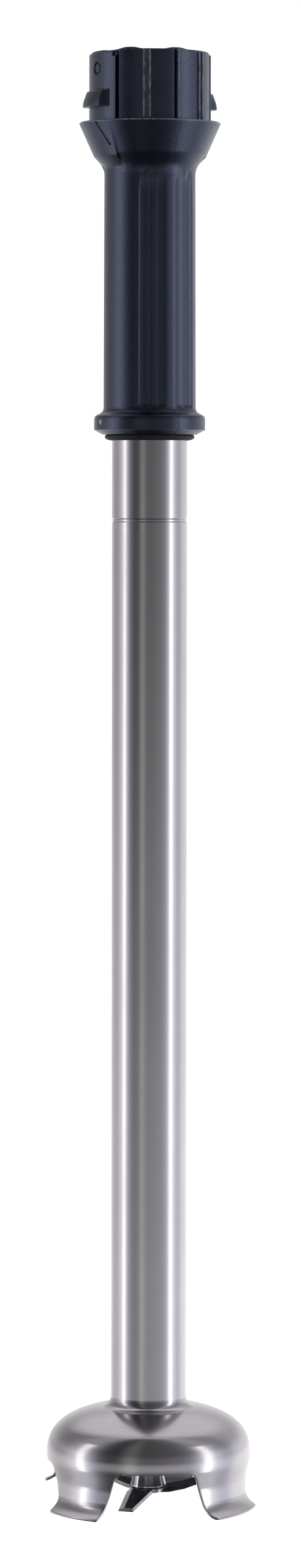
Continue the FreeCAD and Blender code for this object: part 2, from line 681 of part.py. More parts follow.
def bearing(prefix, bore, pitch, outer, top):
    """Deep-groove ball bearing as inner ring, outer ring, cage and balls; top is its upper face depth."""
    width, race = size("bearing_width"), size("race_radius")
    step = size("ring_step")
    middle = -(top + width / 2)
    # the race arc cuts each ring's shoulder at this half height
    half = Size((race.value ** 2 - step.value ** 2) ** 0.5, f"sqrt({race.text}^2 - {step.text}^2)")
    turned(f"{prefix}_bearing_inner_ring", [
        (bore, -(top + width)),
        (pitch - step, -(top + width)),
        (pitch - step, middle - half),
        ((pitch - race, middle), (pitch - step, middle + half)),
        (pitch - step, -top),
        (bore, -top),
    ])
    turned(f"{prefix}_bearing_outer_ring", [
        (outer, -top),
        (pitch + step, -top),
        (pitch + step, middle + half),
        ((pitch + race, middle), (pitch + step, middle - half)),
        (pitch + step, -(top + width)),
        (outer, -(top + width)),
    ])
    count = 8
    spots = [FreeCAD.Vector(pitch.value, 0, middle.value)]
    turn = FreeCAD.Rotation(FreeCAD.Vector(0, 0, 1), 360.0 / count)
    while len(spots) < count:
        spots.append(turn.multVec(spots[-1]))
    balls = doc.addObject("Part::Feature", f"{prefix}_bearing_balls")
    balls.Shape = Part.makeCompound([Part.makeSphere(number("ball_radius"), spot) for spot in spots])
    keep(balls, f"{prefix}_bearing_balls")
    tall, wall = number("cage_height"), number("cage_half")
    low = FreeCAD.Vector(0, 0, middle.value - tall / 2)
    ring = Part.makeCylinder(pitch.value + wall, tall, low).cut(Part.makeCylinder(pitch.value - wall, tall, low))
    pockets = [radial_hole(spot, wall * 3) for spot in spots]
    cage = doc.addObject("Part::Feature", f"{prefix}_bearing_cage")
    cage.Shape = ring.cut(pockets[0].multiFuse(pockets[1:]))
    keep(cage, f"{prefix}_bearing_cage")


# ---------------------------------------------------------------- shaft and drive

def drive_shaft():
    body = new_body("drive_shaft")
    end, shaft = size("shaft_end_radius"), size("shaft_radius")
    revolve(body, [
        (Size.of(0), -size("shaft_thread_top")),
        (size("shaft_thread_radius"), -(size("shaft_thread_top") + 1.2)),
        (size("shaft_thread_radius"), -size("shaft_foot")),
        (end - 0.4, -size("shaft_foot")),
        (end, -(size("shaft_foot") - 0.4)),
        (end, -size("shaft_shoulder")),
        (shaft, -size("shaft_shoulder")),
        (shaft, -size("collar_foot")),
        (size("collar_radius"), -size("collar_foot")),
        (size("collar_radius"), -size("upper_seat_foot")),
        (size("journal_radius"), -size("upper_seat_foot")),
        (size("journal_radius"), -size("dog_seat_foot")),
        (size("dog_seat_radius"), -size("dog_seat_foot")),
        (size("dog_seat_radius"), -(size("shaft_top") + 0.6)),
        (size("dog_seat_radius") - 0.6, -size("shaft_top")),
        (Size.of(0), -size("shaft_top")),
    ])
    cross_hole(body, "ShaftPinHole", size("drive_pin_radius"))
    return keep(body, "drive_shaft")


def cross_hole(body, name, radius):
    """Hole right through the body along X at the height of the drive pin."""
    sketch = new_sketch(body, "YZ_Plane", name, outward=-(size("dog_radius") + 1))
    draw_circle(sketch, (Size.of(0), -size("drive_pin_height")), radius)
    return pocket(body, sketch, (size("dog_radius") + 1) * 2, name + "Cut", reversed_way=True)


def drive_dog():
    """Toothed cup that the motor's driver engages, pinned to the top of the shaft."""
    body = new_body("drive_dog")
    top, foot, radius = size("dog_top"), size("dog_foot"), size("dog_radius")
    socket, seat = size("dog_socket_radius"), size("dog_seat_radius")
    floor = top + size("dog_socket_depth")
    revolve(body, [
        (seat, -foot),
        (radius - 1.5, -foot),
        (radius, -(foot - 1.5)),
        (radius, -(top + 0.8)),
        (radius - 0.8, -top),
        (socket + 0.8, -top),
        (socket, -(top + 0.8)),
        (socket, -floor),
        (seat, -floor),
    ])
    notch = new_sketch(body, "XY_Plane", "ToothGap", outward=-top)
    draw_circle(notch, (socket + 0.4, Size.of(0)), size("dog_tooth_radius"))
    gap = pocket(body, notch, size("dog_socket_depth"), "ToothGapCut")
    around_axis(body, [gap], int(number("dog_tooth_count")), "ToothGaps")
    cross_hole(body, "DogPinHole", size("drive_pin_radius"))
    return keep(body, "drive_dog")


def drive_pin():
    pin = doc.addObject("Part::Cylinder", "drive_pin")
    pin.Placement = FreeCAD.Placement(FreeCAD.Vector(), FreeCAD.Rotation(FreeCAD.Vector(0, 1, 0), 90))
    pin.setExpression("Radius", size("drive_pin_radius").text)
    pin.setExpression("Height", (size("drive_pin_reach") * 2).text)
    pin.setExpression("Placement.Base.x", (-size("drive_pin_reach")).text)
    pin.setExpression("Placement.Base.z", (-size("drive_pin_height")).text)
    return keep(pin, "drive_pin")


def shaft_circlip(label, radius, top):
    """External circlip that holds an inner ring on the shaft."""
    body = new_body(label)
    thick = size("shaft_clip_thickness")
    rise = size("shaft_clip_rise")
    revolve(body, ring_outline(radius, radius + rise, top, top + thick))
    gap = new_sketch(body, "XY_Plane", label + "Gap", outward=-top)
    draw_outline(gap, sector(radius - 1, radius + rise + 1, Size.of(0), Size.of(18)))
    pocket(body, gap, thick, label + "GapCut")
    return keep(body, label)


def shaft_guide(which, height):
    """Bronze bush in a rubber carrier that steadies the long shaft inside the tube."""
    bush = new_body(f"{which}_guide_bush")
    radius, flange, half = size("guide_bush_radius"), size("guide_flange_radius"), size("guide_half")
    revolve(bush, [
        (size("guide_bore"), -half),
        (radius, -half),
        (radius, half - size("guide_flange")),
        (flange, half - size("guide_flange")),
        (flange, half),
        (size("guide_bore"), half),
    ])
    place(bush, height=-height)
    keep(bush, f"{which}_guide_bush")
    carrier = new_body(f"{which}_guide_carrier")
    wall, reach = size("tube_bore") - 0.02, size("carrier_half")
    revolve(carrier, [
        (radius, -reach),
        (wall - 1.6, -reach),
        (wall, -(reach - 1.2)),
        (wall, -Size.of(1.4)),
        (wall - 1.4, Size.of(0)),
        (wall, Size.of(1.4)),
        (wall, reach - 1.2),
        (wall - 1.6, reach),
        (radius, reach),
    ])
    vent = new_sketch(carrier, "XY_Plane", f"{which}_vent", outward=-reach)
    draw_circle(vent, (radius + 4.2, Size.of(0)), Size.of(2.2))
    hole = pocket(carrier, vent, reach * 2, f"{which}_vent_cut", reversed_way=True)
    around_axis(carrier, [hole], 6, f"{which}_vents")
    place(carrier, height=-height)
    keep(carrier, f"{which}_guide_carrier")


# ---------------------------------------------------------------- lower bearing and seal

def lower_bearing_housing():
    seat, outer = size("lower_seat_radius"), size("housing_radius")
    clip_top = size("lower_seat_foot")
    clip_foot = clip_top + size("circlip_thickness") + 0.1
    groove = size("cord_groove") / 2
    height = size("cord_ring_height")
    foot = size("lower_housing_foot")
    return turned("lower_bearing_housing", [
        (size("lower_housing_bore"), -size("lower_housing_top")),
        (outer, -size("lower_housing_top")),
        (outer, -(height - groove)),
        (outer - 1.9, -(height - groove)),
        (outer - 1.9, -(height + groove)),
        (outer, -(height + groove)),
        (outer, -foot),
        (seat, -foot),
        (seat, -clip_foot),
        (size("lower_clip_groove_radius"), -clip_foot),
        (size("lower_clip_groove_radius"), -clip_top),
        (seat, -clip_top),
        (seat, -size("lower_seat_top")),
        (size("lower_housing_bore"), -size("lower_seat_top")),
    ])


def housing_o_ring():
    ring = doc.addObject("Part::Torus", "housing_o_ring")
    ring.setExpression("Radius1", size("cord_ring_path").text)
    ring.setExpression("Radius2", size("cord_ring_radius").text)
    ring.setExpression("Placement.Base.z", (-size("cord_ring_height")).text)
    return keep(ring, "housing_o_ring")


def shaft_seal():
    """Rubber lip seal in a steel-cored rim; the lip points down at the shaft."""
    seat, lip, shell = size("lower_seat_radius") - 0.02, size("seal_lip_radius"), size("seal_shell")
    top, foot = size("seal_top"), size("seal_foot")
    return turned("shaft_seal", [
        (seat, -foot),
        (seat, -top),
        (lip + 1.6, -top),
        (lip + 1.2, -(top + 1.4)),
        (lip, -(foot - 2.2)),
        (lip + 0.5, -(foot - 1.2)),
        (lip + 1.3, -(foot - 1.2)),
        (lip + 2.4, -(top + 2.4)),
        (seat - shell, -(top + 1.6)),
        (seat - shell, -foot),
    ])


def seal_garter_spring():
    ring = doc.addObject("Part::Torus", "seal_garter_spring")
    ring.setExpression("Radius1", size("garter_path").text)
    ring.setExpression("Radius2", size("garter_wire").text)
    ring.setExpression("Placement.Base.z", (-(size("seal_foot") - 0.6)).text)
    return keep(ring, "seal_garter_spring")


def seal_cover():
    """Stainless plate that closes the lower housing inside the bell."""
    foot, top = size("cover_foot"), size("lower_housing_foot")
    hole = size("cover_hole")
    return turned("seal_cover", [
        (hole, -foot),
        (size("cover_radius") - 0.8, -foot),
        (size("cover_radius"), -(foot - 0.8)),
        (size("cover_radius"), -top),
        (hole, -top),
    ])


# ---------------------------------------------------------------- bell guard

def bell_edges(inset):
    """Edges of the bell's wall from the tube end to the lip, moved inwards by inset."""
    def point(radius, height):
        return FreeCAD.Vector(radius, 0, height)

    tube_wall = number("tube_radius") - inset
    reach, rise = number("dome_radius") - inset, number("dome_rise") - inset
    power, centre = number("dome_power"), -number("dome_height")
    fillet = number("weld_fillet") + inset
    join = tube_wall + fillet

    def dome(share):
        """Point of the superellipse dome; share runs from 0 at its widest to 1 at the axis."""
        angle = math.radians(90 * share)
        return point(reach * math.cos(angle) ** (2 / power), centre + rise * math.sin(angle) ** (2 / power))

    start = math.degrees(math.acos((join / reach) ** (power / 2))) / 90
    count = 9
    crown = [dome(start * (1 - index / (count - 1))) for index in range(count)]
    shoulder = crown[0]
    neck_end = point(tube_wall, shoulder.z + fillet)
    dip = math.sqrt(0.5)
    fillet_middle = point(join - fillet * dip, shoulder.z + fillet * (1 - dip))
    spline = Part.BSplineCurve()
    skirt = number("skirt_radius") - inset
    skirt_top = point(skirt, -number("skirt_top"))
    turn_in = [point(skirt + (reach - skirt) * share, centre + (skirt_top.z - centre) * drop)
               for share, drop in ((0.72, 0.33), (0.22, 0.68))]
    spline.interpolate(crown + turn_in + [skirt_top])
    skirt_foot = point(skirt, -number("skirt_foot"))
    flare = number("lip_radius") - number("skirt_radius")
    drop = number("lip_foot") - number("skirt_foot")
    lip = point(number("lip_radius") - inset * 0.45, -number("lip_foot") - inset * 0.25 + 0.15)
    lip_middle = point(skirt + flare * 0.24, skirt_foot.z - drop * 0.62 + inset * 0.1)
    neck_top = point(tube_wall, -number("main_tube_foot"))
    return [
        Part.makeLine(neck_top, neck_end),
        Part.Arc(neck_end, fillet_middle, shoulder).toShape(),
        spline.toShape(),
        Part.makeLine(skirt_top, skirt_foot),
        Part.Arc(skirt_foot, lip_middle, lip).toShape(),
    ]


def bell_wall(lift=0.0):
    """Full round wall of the bell, before the windows are cut; lift raises it for the short foot."""
    outer, inner = bell_edges(0.0), bell_edges(number("sheet"))
    closing = [
        Part.makeLine(outer[-1].Vertexes[-1].Point, inner[-1].Vertexes[-1].Point),
        Part.makeLine(outer[0].Vertexes[0].Point, inner[0].Vertexes[0].Point),
    ]
    wire = Part.Wire(Part.__sortEdges__(outer + inner + closing))
    wall = Part.Face(wire).revolve(FreeCAD.Vector(), FreeCAD.Vector(0, 0, 1), 360)
    wall.translate(FreeCAD.Vector(0, 0, lift))
    return wall


def rounded_prism(corners, radius, depth):
    """Vertical-plane polygon with its first two corners rounded, pushed out along -Y."""
    wire = Part.makePolygon(corners + corners[:1])
    prism = Part.Face(wire).extrude(FreeCAD.Vector(0, -depth, 0))
    rounded = []
    for edge in prism.Edges:
        middle = edge.valueAt((edge.FirstParameter + edge.LastParameter) / 2)
        if abs(edge.Length - depth) < 1e-6 and any(
                math.hypot(middle.x - corner.x, middle.z - corner.z) < 1e-6 for corner in corners[:2]):
            rounded.append(edge)
    return prism.makeFillet(radius, rounded)


def window_cutter(centre, half_top, half_lip):
    """Cutter for one opening between two feet."""
    skirt, lip = number("skirt_radius"), number("lip_radius")
    top, foot = -number("window_top"), -number("lip_foot")
    wide_top = skirt * math.sin(math.radians(half_top))
    wide_foot = lip * math.sin(math.radians(half_lip))
    slope = (wide_foot - wide_top) / (top - foot)
    below = 4.0
    corners = [
        FreeCAD.Vector(-wide_top, -12, top),
        FreeCAD.Vector(wide_top, -12, top),
        FreeCAD.Vector(wide_foot + slope * below, -12, foot - below),
        FreeCAD.Vector(-wide_foot - slope * below, -12, foot - below),
    ]
    cutter = rounded_prism(corners, number("window_corner"), 60.0)
    cutter.rotate(FreeCAD.Vector(), FreeCAD.Vector(0, 0, 1), centre)
    return cutter


def wedge(centre, half, low, high, radius):
    """Solid sector about the axis between two heights."""
    piece = Part.makeCylinder(radius, high - low, FreeCAD.Vector(0, 0, low), FreeCAD.Vector(0, 0, 1), 2 * half)
    piece.rotate(FreeCAD.Vector(), FreeCAD.Vector(0, 0, 1), centre - half - 90)
    return piece


def bell_guard():
    """One-piece pressed bell with four feet, the far left one shorter than the others."""
    lift = number("short_foot_rise")
    foot = -number("lip_foot") - 1.0
    split = -number("window_top") - 2.0
    angle, half = number("short_foot_angle"), number("short_foot_half")
    long_feet = bell_wall().cut(wedge(angle, half, foot, split, 70.0))
    raised = bell_wall(lift).common(wedge(angle, half, foot, split, 70.0))
    solid = long_feet.fuse(raised)
    for window in WINDOWS:
        solid = solid.cut(window_cutter(*window))
    guard = doc.addObject("Part::Feature", "bell_guard")
    guard.Shape = solid.removeSplitter()
    return keep(guard, "bell_guard")


# ---------------------------------------------------------------- blade

def blade_hub():
    """Waisted steel hub that carries the blade under the bell."""
    foot, bore = size("hub_foot"), size("hub_bore")
    return turned("blade_hub", [
        (bore, -foot),
        (size("hub_radius") - 0.5, -foot),
        (size("hub_radius"), -(foot - 0.5)),
        (size("hub_radius"), -size("hub_rim")),
        ((size("hub_waist_radius"), -size("hub_waist")), (size("hub_shoulder_radius"), -size("hub_shoulder"))),
        (size("hub_neck_radius"), -size("hub_neck_foot")),
        (size("hub_neck_radius"), -size("hub_top")),
        (bore, -size("hub_top")),
    ])


def wing(direction, tip_height, curl):
    """One blade wing: bent up or down from a line near the disc, with a ground leading edge."""
    thick, tip = number("blade_thickness"), number("blade_tip_half")
    bend, reach = number("blade_bend"), number("blade_reach")
    bevel = number("blade_bevel")

    def section(share):
        """Five-sided section across the wing, from 0 at the bend to 1 at the tip."""
        out = bend + (reach - bend) * share
        lift = tip_height * share ** curl
        lead = number("blade_root_lead") + (tip - number("blade_root_lead")) * share
        trail = number("blade_root_trail") + (tip - number("blade_root_trail")) * share
        points = [(-lead, 0.0), (trail, 0.0), (trail, thick), (-lead + bevel, thick), (-lead, number("blade_edge"))]
        ring = [FreeCAD.Vector(out, across, lift + up) for across, up in points]
        return Part.makePolygon(ring + ring[:1])

    at_axis = section(0.0)
    at_axis.translate(FreeCAD.Vector(-bend, 0, 0))
    solid = Part.makeLoft([at_axis, section(0.0)], True, True)
    shares = (0.0, 0.34, 0.67, 1.0) if curl > 1 else (0.0, 1.0)
    for start, stop in zip(shares, shares[1:]):
        solid = solid.fuse(Part.makeLoft([section(start), section(stop)], True, True))
    solid.translate(FreeCAD.Vector(0, 0, -number("hub_foot") - thick))
    solid.rotate(FreeCAD.Vector(), FreeCAD.Vector(0, 0, 1), direction - 90)
    return solid


def blade():
    thick = number("blade_thickness")
    low = FreeCAD.Vector(0, 0, -number("hub_foot") - thick)
    solid = Part.makeCylinder(number("blade_disc"), thick, low)
    for direction, tip_height, curl in WINGS:
        solid = solid.fuse(wing(direction, tip_height, curl))
    sink = Part.makeCone(number("screw_head_radius") + 0.1, number("screw_shank_radius") + 0.1,
                         thick, low)
    piece = doc.addObject("Part::Feature", "blade")
    piece.Shape = solid.cut(sink).removeSplitter()
    return keep(piece, "blade")


def blade_screw():
    """Countersunk screw, flush with the blade, threaded into the end of the shaft."""
    body = new_body("blade_screw")
    thick, shank = size("blade_thickness"), size("screw_shank_radius")
    low = size("hub_foot") + thick
    revolve(body, [
        (Size.of(0), -low),
        (size("screw_head_radius"), -low),
        (shank, -size("hub_foot")),
        (shank, -(size("shaft_thread_top") + 2.4)),
        (shank - 0.5, -(size("shaft_thread_top") + 1.9)),
        (Size.of(0), -(size("shaft_thread_top") + 1.9)),
    ])
    slot = new_sketch(body, "XY_Plane", "ScrewSlot", outward=-low)
    half, reach = size("screw_slot") / 2, size("screw_head_radius") + 0.5
    draw_outline(slot, [(-reach, -half), (reach, -half), (reach, half), (-reach, half)])
    pocket(body, slot, Size.of(1.1), "ScrewSlotCut", reversed_way=True)
    return keep(body, "blade_screw")


def build():
    coupling_head()
    coupling_screws()
    flange_gasket()
    upper_bearing_housing()
    dust_shield()
    front_turn = number("shell_angle") - 180.0 - 90.0
    grip_shell("grip_shell_front", front_turn)
    grip_shell("grip_shell_rear", front_turn + 180.0)
    grip_pins()
    grip_seal_ring()
    tube("upper_tube", size("upper_tube_top"), size("upper_tube_foot"), foot_edge=size("tube_edge"))
    tube_joint_sleeve()
    tube("main_tube", size("main_tube_top"), size("main_tube_foot"), foot_edge=None)
    bell_guard()
    bearing("upper", size("journal_radius"), size("upper_pitch"), size("upper_outer_radius"),
            size("upper_seat_top"))
    bearing("lower", size("shaft_radius"), size("lower_pitch"), size("lower_outer_radius"),
            size("lower_seat_top"))
    housing_circlip("upper_housing_circlip", size("circlip_groove_radius"), size("circlip_bore"),
                    size("upper_seat_top") - size("circlip_thickness") - 0.05)
    housing_circlip("lower_housing_circlip", size("lower_clip_groove_radius"), size("lower_clip_bore"),
                    size("lower_seat_foot") + 0.05)
    lower_bearing_housing()
    housing_o_ring()
    shaft_seal()
    seal_garter_spring()
    seal_cover()
    shaft_guide("upper", size("upper_guide"))
    shaft_guide("lower", size("lower_guide"))
    drive_shaft()
    drive_dog()
    drive_pin()
    shaft_circlip("upper_shaft_circlip", size("journal_radius"),
                  size("upper_seat_top") - size("shaft_clip_thickness"))
    shaft_circlip("lower_shaft_circlip", size("shaft_radius"), size("lower_seat_foot"))
    blade_hub()
    blade()
    blade_screw()


def check(pieces):
    for item in doc.Objects:
        if "Invalid" in item.State or "Error" in item.State:
            raise RuntimeError(f"{item.Name} did not build: {item.State}")
    for piece in pieces:
        if piece.Shape.isNull() or not piece.Shape.isValid() or not piece.Shape.Solids:
            raise RuntimeError(f"{piece.Label} has no valid solid")


build()
doc.recompute()
check(sub_parts)
os.makedirs("parts", exist_ok=True)
for piece in sub_parts:
    piece.Shape.exportStep(f"parts/{piece.Label}.step")
    print(piece.Label, len(piece.Shape.Solids), round(piece.Shape.Volume, 1))
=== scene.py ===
import json
import math

import bmesh
import bpy
import numpy as np
from mathutils import Matrix, Vector


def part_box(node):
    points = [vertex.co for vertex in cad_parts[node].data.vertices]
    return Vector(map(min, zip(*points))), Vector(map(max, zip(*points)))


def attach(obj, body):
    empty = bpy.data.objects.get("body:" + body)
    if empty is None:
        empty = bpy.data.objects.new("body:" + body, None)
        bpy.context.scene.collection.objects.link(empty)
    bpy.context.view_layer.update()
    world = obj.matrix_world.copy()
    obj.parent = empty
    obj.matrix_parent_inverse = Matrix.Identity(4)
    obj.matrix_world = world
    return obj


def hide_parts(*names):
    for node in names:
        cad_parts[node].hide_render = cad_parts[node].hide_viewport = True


# Studio picture of a detachable immersion-blender arm.  Metres, +Z along the tube towards the motor unit,
# origin on the tube axis in the plane of the collar rim, camera side towards -Y.

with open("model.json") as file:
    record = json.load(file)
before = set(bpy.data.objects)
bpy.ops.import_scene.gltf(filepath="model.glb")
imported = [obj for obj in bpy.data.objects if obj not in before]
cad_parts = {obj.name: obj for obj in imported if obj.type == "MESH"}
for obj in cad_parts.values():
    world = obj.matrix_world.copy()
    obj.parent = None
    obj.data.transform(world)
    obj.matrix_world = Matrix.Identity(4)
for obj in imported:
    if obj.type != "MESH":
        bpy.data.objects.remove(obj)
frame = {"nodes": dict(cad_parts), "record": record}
nodes = frame["nodes"]
scene = bpy.context.scene
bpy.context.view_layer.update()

MM = 0.001
RIM_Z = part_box("grip_shell_front")[1].z
FEET_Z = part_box("bell_guard")[0].z
TUBE_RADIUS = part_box("main_tube")[1].x


# ---------------------------------------------------------------- camera, floor and light

IMAGE_HEIGHT_PX = 2576
FOCAL_PX = 8500.0
SENSOR_MM = 36.0
CAMERA_X = 0.0005
CAMERA_DISTANCE = 2.635
CAMERA_Z = RIM_Z - 0.1947
CAMERA_ROLL = math.radians(-0.07)
CLIP_END = 50
HORIZON_SHIFT = -0.1778
STRIP_DISTANCE, STRIP_HEIGHT = 1.6, 2.0


def add_camera():
    """Level camera in front of the arm, with the frame shifted down to take in the bell."""
    data = bpy.data.cameras.new("studio_camera")
    data.sensor_width = SENSOR_MM
    data.lens = FOCAL_PX / IMAGE_HEIGHT_PX * SENSOR_MM
    data.shift_y = HORIZON_SHIFT
    data.clip_end = CLIP_END
    camera = bpy.data.objects.new("studio_camera", data)
    camera.location = (CAMERA_X, -CAMERA_DISTANCE, CAMERA_Z)
    camera.rotation_euler = (math.radians(90), CAMERA_ROLL, 0)
    scene.collection.objects.link(camera)
    scene.camera = camera


def add_strip(name, azimuth, width, power):
    """Upright area light facing the middle of the arm; azimuth is measured from -Y towards +X."""
    data = bpy.data.lights.new(name, "AREA")
    data.shape = "RECTANGLE"
    data.size = width
    data.size_y = STRIP_HEIGHT
    data.energy = power
    light = bpy.data.objects.new(name, data)
    angle = math.radians(azimuth)
    middle = (RIM_Z + FEET_Z) / 2
    light.location = (STRIP_DISTANCE * math.sin(angle), -STRIP_DISTANCE * math.cos(angle), middle)
    light.rotation_euler = (math.radians(90), 0, angle)
    scene.collection.objects.link(light)


# brightness and tint of the studio wall by azimuth from -Y, in degrees
WALL_LEVELS = (
    (-180, 0.92), (-140, 0.52), (-122, 0.40), (-105, 0.54), (-92, 0.72), (-72, 0.55), (-60, 0.17),
    (-40, 0.055), (-30, 0.13), (-20, 0.33), (-10, 0.13), (4, 0.13), (26, 0.17), (46, 0.24), (60, 0.55),
    (84, 0.78), (98, 0.52), (110, 0.60), (122, 0.82), (180, 0.92),
)
PLAIN_WALL = (0.98, 0.98, 1.0, 1)
GREEN_WALL = (0.87, 1.0, 0.92, 1)
BLUE_WALL = (0.91, 0.95, 1.08, 1)
WALL_TINTS = (
    (-180, PLAIN_WALL), (-90, PLAIN_WALL), (-66, BLUE_WALL), (-40, PLAIN_WALL), (-20, GREEN_WALL),
    (-6, PLAIN_WALL), (22, PLAIN_WALL), (48, BLUE_WALL), (76, PLAIN_WALL), (96, BLUE_WALL), (130, PLAIN_WALL),
)

# where the surround changes, by the vertical part of the direction: 1 is straight up and -1 straight down
HIGH_WALL, HIGH_WALL_SPAN = 0.55, (0.05, 0.45)
GROUND_GLOW, GLOW_TOP, GLOW_FOOT = 0.25, (0.0, -0.17), (-0.46, -0.22)
CEILING_LEVEL, CEILING_LEAN, CEILING_SPAN = 0.72, 0.6, (0.88, 1.08)
GROUND_LEVEL, GROUND_SPAN = 0.05, (-0.58, -0.85)

FLOOR_SIZE, FLOOR_CELLS, FLOOR_DROP = 8, 4, 0.06
FLOOR_COLOUR, FLOOR_ROUGHNESS, FLOOR_GLOW = (0.9, 0.9, 0.9, 1), 0.9, 0.72
WHITE = (1, 1, 1, 1)


class NodeTree:
    """Small helper around a node tree."""

    def __init__(self, owner):
        owner.use_nodes = True
        self.tree = owner.node_tree

    def new(self, kind, **properties):
        node = self.tree.nodes.new(kind)
        for name, amount in properties.items():
            setattr(node, name, amount)
        return node

    def link(self, start, end):
        self.tree.links.new(start, end)

    def math(self, operation, *items):
        """Output of a math node on plain numbers and other nodes' outputs."""
        node = self.new("ShaderNodeMath", operation=operation)
        for slot, item in enumerate(items):
            if isinstance(item, (int, float)):
                node.inputs[slot].default_value = item
            else:
                self.link(item, node.inputs[slot])
        return node.outputs[0]

    def ramp(self, value, low, high, to_low=0.0, to_high=1.0, kind="LINEAR"):
        """Maps low and high to two other amounts, and stays at those beyond them."""
        node = self.new("ShaderNodeMapRange", interpolation_type=kind)
        for name, amount in (("From Min", low), ("From Max", high), ("To Min", to_low), ("To Max", to_high)):
            node.inputs[name].default_value = amount
        self.link(value, node.inputs["Value"])
        return node.outputs["Result"]

    def soft_ramp(self, value, low, high, to_low=0.0, to_high=1.0):
        """The same, eased at both ends."""
        return self.ramp(value, low, high, to_low, to_high, "SMOOTHSTEP")

    def mix(self, factor, first, second, **properties):
        """Mixes two amounts or colours; each is a plain value or another node's output."""
        node = self.new("ShaderNodeMix", **properties)
        self.link(factor, node.inputs["Factor"])
        for slot, item in (("A", first), ("B", second)):
            if isinstance(item, bpy.types.NodeSocket):
                self.link(item, node.inputs[slot])
            else:
                node.inputs[slot].default_value = item
        return node.outputs["Result"]


def add_world():
    """Studio surround: a wall, dim in front and bright behind, under a ceiling bright from overhead back."""
    scene.world = bpy.data.worlds.new("studio")
    tree = NodeTree(scene.world)
    tree.tree.nodes.clear()
    split = tree.new("ShaderNodeSeparateXYZ")
    tree.link(tree.new("ShaderNodeTexCoord").outputs["Generated"], split.inputs[0])
    azimuth = tree.math("ARCTAN2", split.outputs["X"], tree.math("MULTIPLY", split.outputs["Y"], -1))
    turn = tree.ramp(azimuth, -math.pi, math.pi)
    wall = tree.new("ShaderNodeFloatCurve")
    curve = wall.mapping.curves[0]
    while len(curve.points) < len(WALL_LEVELS):
        curve.points.new(0.5, 0.5)
    for point, (angle, level) in zip(curve.points, WALL_LEVELS):
        point.location = ((angle + 180) / 360, level)
    wall.mapping.update()
    tree.link(turn, wall.inputs["Value"])
    tint = tree.new("ShaderNodeValToRGB")
    while len(tint.color_ramp.elements) < len(WALL_TINTS):
        tint.color_ramp.elements.new(1.0)
    for stop, (angle, colour) in zip(tint.color_ramp.elements, WALL_TINTS):
        stop.position = (angle + 180) / 360
        stop.color = colour
    tree.link(turn, tint.inputs[0])
    up = split.outputs["Z"]
    level = tree.math("MULTIPLY", wall.outputs["Value"], tree.soft_ramp(up, *HIGH_WALL_SPAN, 1.0, HIGH_WALL))
    glow = tree.math("MULTIPLY", tree.soft_ramp(up, *GLOW_TOP), tree.soft_ramp(up, *GLOW_FOOT))
    level = tree.math("ADD", level, tree.math("MULTIPLY", glow, GROUND_GLOW))
    leaning = tree.math("MULTIPLY_ADD", split.outputs["Y"], CEILING_LEAN, up)
    level = tree.mix(tree.soft_ramp(leaning, *CEILING_SPAN), level, CEILING_LEVEL)
    level = tree.mix(tree.soft_ramp(up, *GROUND_SPAN), level, GROUND_LEVEL)
    surround = tree.new("ShaderNodeBackground")
    tree.link(tint.outputs["Color"], surround.inputs["Color"])
    tree.link(level, surround.inputs["Strength"])
    backdrop = tree.new("ShaderNodeBackground")
    backdrop.inputs["Color"].default_value = WHITE
    mix = tree.new("ShaderNodeMixShader")
    tree.link(tree.new("ShaderNodeLightPath").outputs["Is Camera Ray"], mix.inputs["Fac"])
    tree.link(surround.outputs[0], mix.inputs[1])
    tree.link(backdrop.outputs[0], mix.inputs[2])
    tree.link(mix.outputs[0], tree.new("ShaderNodeOutputWorld").inputs["Surface"])


def add_floor():
    """Pale floor, clear from underneath; reflections in the arm see the world's lower half in its place."""
    bpy.ops.mesh.primitive_grid_add(size=FLOOR_SIZE, x_subdivisions=FLOOR_CELLS, y_subdivisions=FLOOR_CELLS,
                                    location=(0, 0, FEET_Z - FLOOR_DROP))
    floor = bpy.context.object
    floor.name = "floor"
    floor.visible_glossy = False
    floor.visible_diffuse = False
    material = bpy.data.materials.new("pale_floor")
    tree = NodeTree(material)
    shader = tree.tree.nodes["Principled BSDF"]
    shader.inputs["Base Color"].default_value = FLOOR_COLOUR
    shader.inputs["Roughness"].default_value = FLOOR_ROUGHNESS
    shader.inputs["Emission Color"].default_value = WHITE
    shader.inputs["Emission Strength"].default_value = FLOOR_GLOW
    one_sided = tree.new("ShaderNodeMixShader")
    tree.link(tree.new("ShaderNodeNewGeometry").outputs["Backfacing"], one_sided.inputs["Fac"])
    tree.link(shader.outputs[0], one_sided.inputs[1])
    tree.link(tree.new("ShaderNodeBsdfTransparent").outputs[0], one_sided.inputs[2])
    tree.link(one_sided.outputs[0], tree.tree.nodes["Material Output"].inputs["Surface"])
    floor.data.materials.append(material)


scene.view_settings.view_transform = "Standard"
add_camera()
add_world()
add_floor()
add_strip("left_softbox", azimuth=-82, width=0.30, power=2.3)
add_strip("right_softbox", azimuth=71, width=0.28, power=2.9)


# ---------------------------------------------------------------- materials

# colour of lightened edges: partly real wear, partly painted highlight on ribs, rims and ridges
WEAR_AND_HIGHLIGHT_COLOUR = (0.32, 0.33, 0.39)
DUST_COLOUR = (0.15, 0.13, 0.11)
SATIN_ROUGHNESS = 0.4
COOL_SHEEN = (0.60, 0.68, 1.0, 1)
NOISE_SPAN = (0.3, 0.7)       # noise seldom leaves it
PIT_CELLS, PIT_SIZE, PIT_DEPTH = 150.0, 0.075, 3.0
SCRATCH_DEPTH = 0.5
MOULDING_IOR, NYLON_IOR = 1.65, 1.45
GRAIN_SHARE, LINE_SHARE = 0.7, 0.6        # of the tone; slow clouds make up the rest
MOULDED_ROUGH, RUBBER_ROUGH = (0.18, 0.32), (0.5, 0.72)
GRAIN_RELIEF, BRUSH_RELIEF, GROUND_RELIEF, RUBBER_RELIEF = 8e-5, 2e-6, 6e-6, 3e-5     # metres


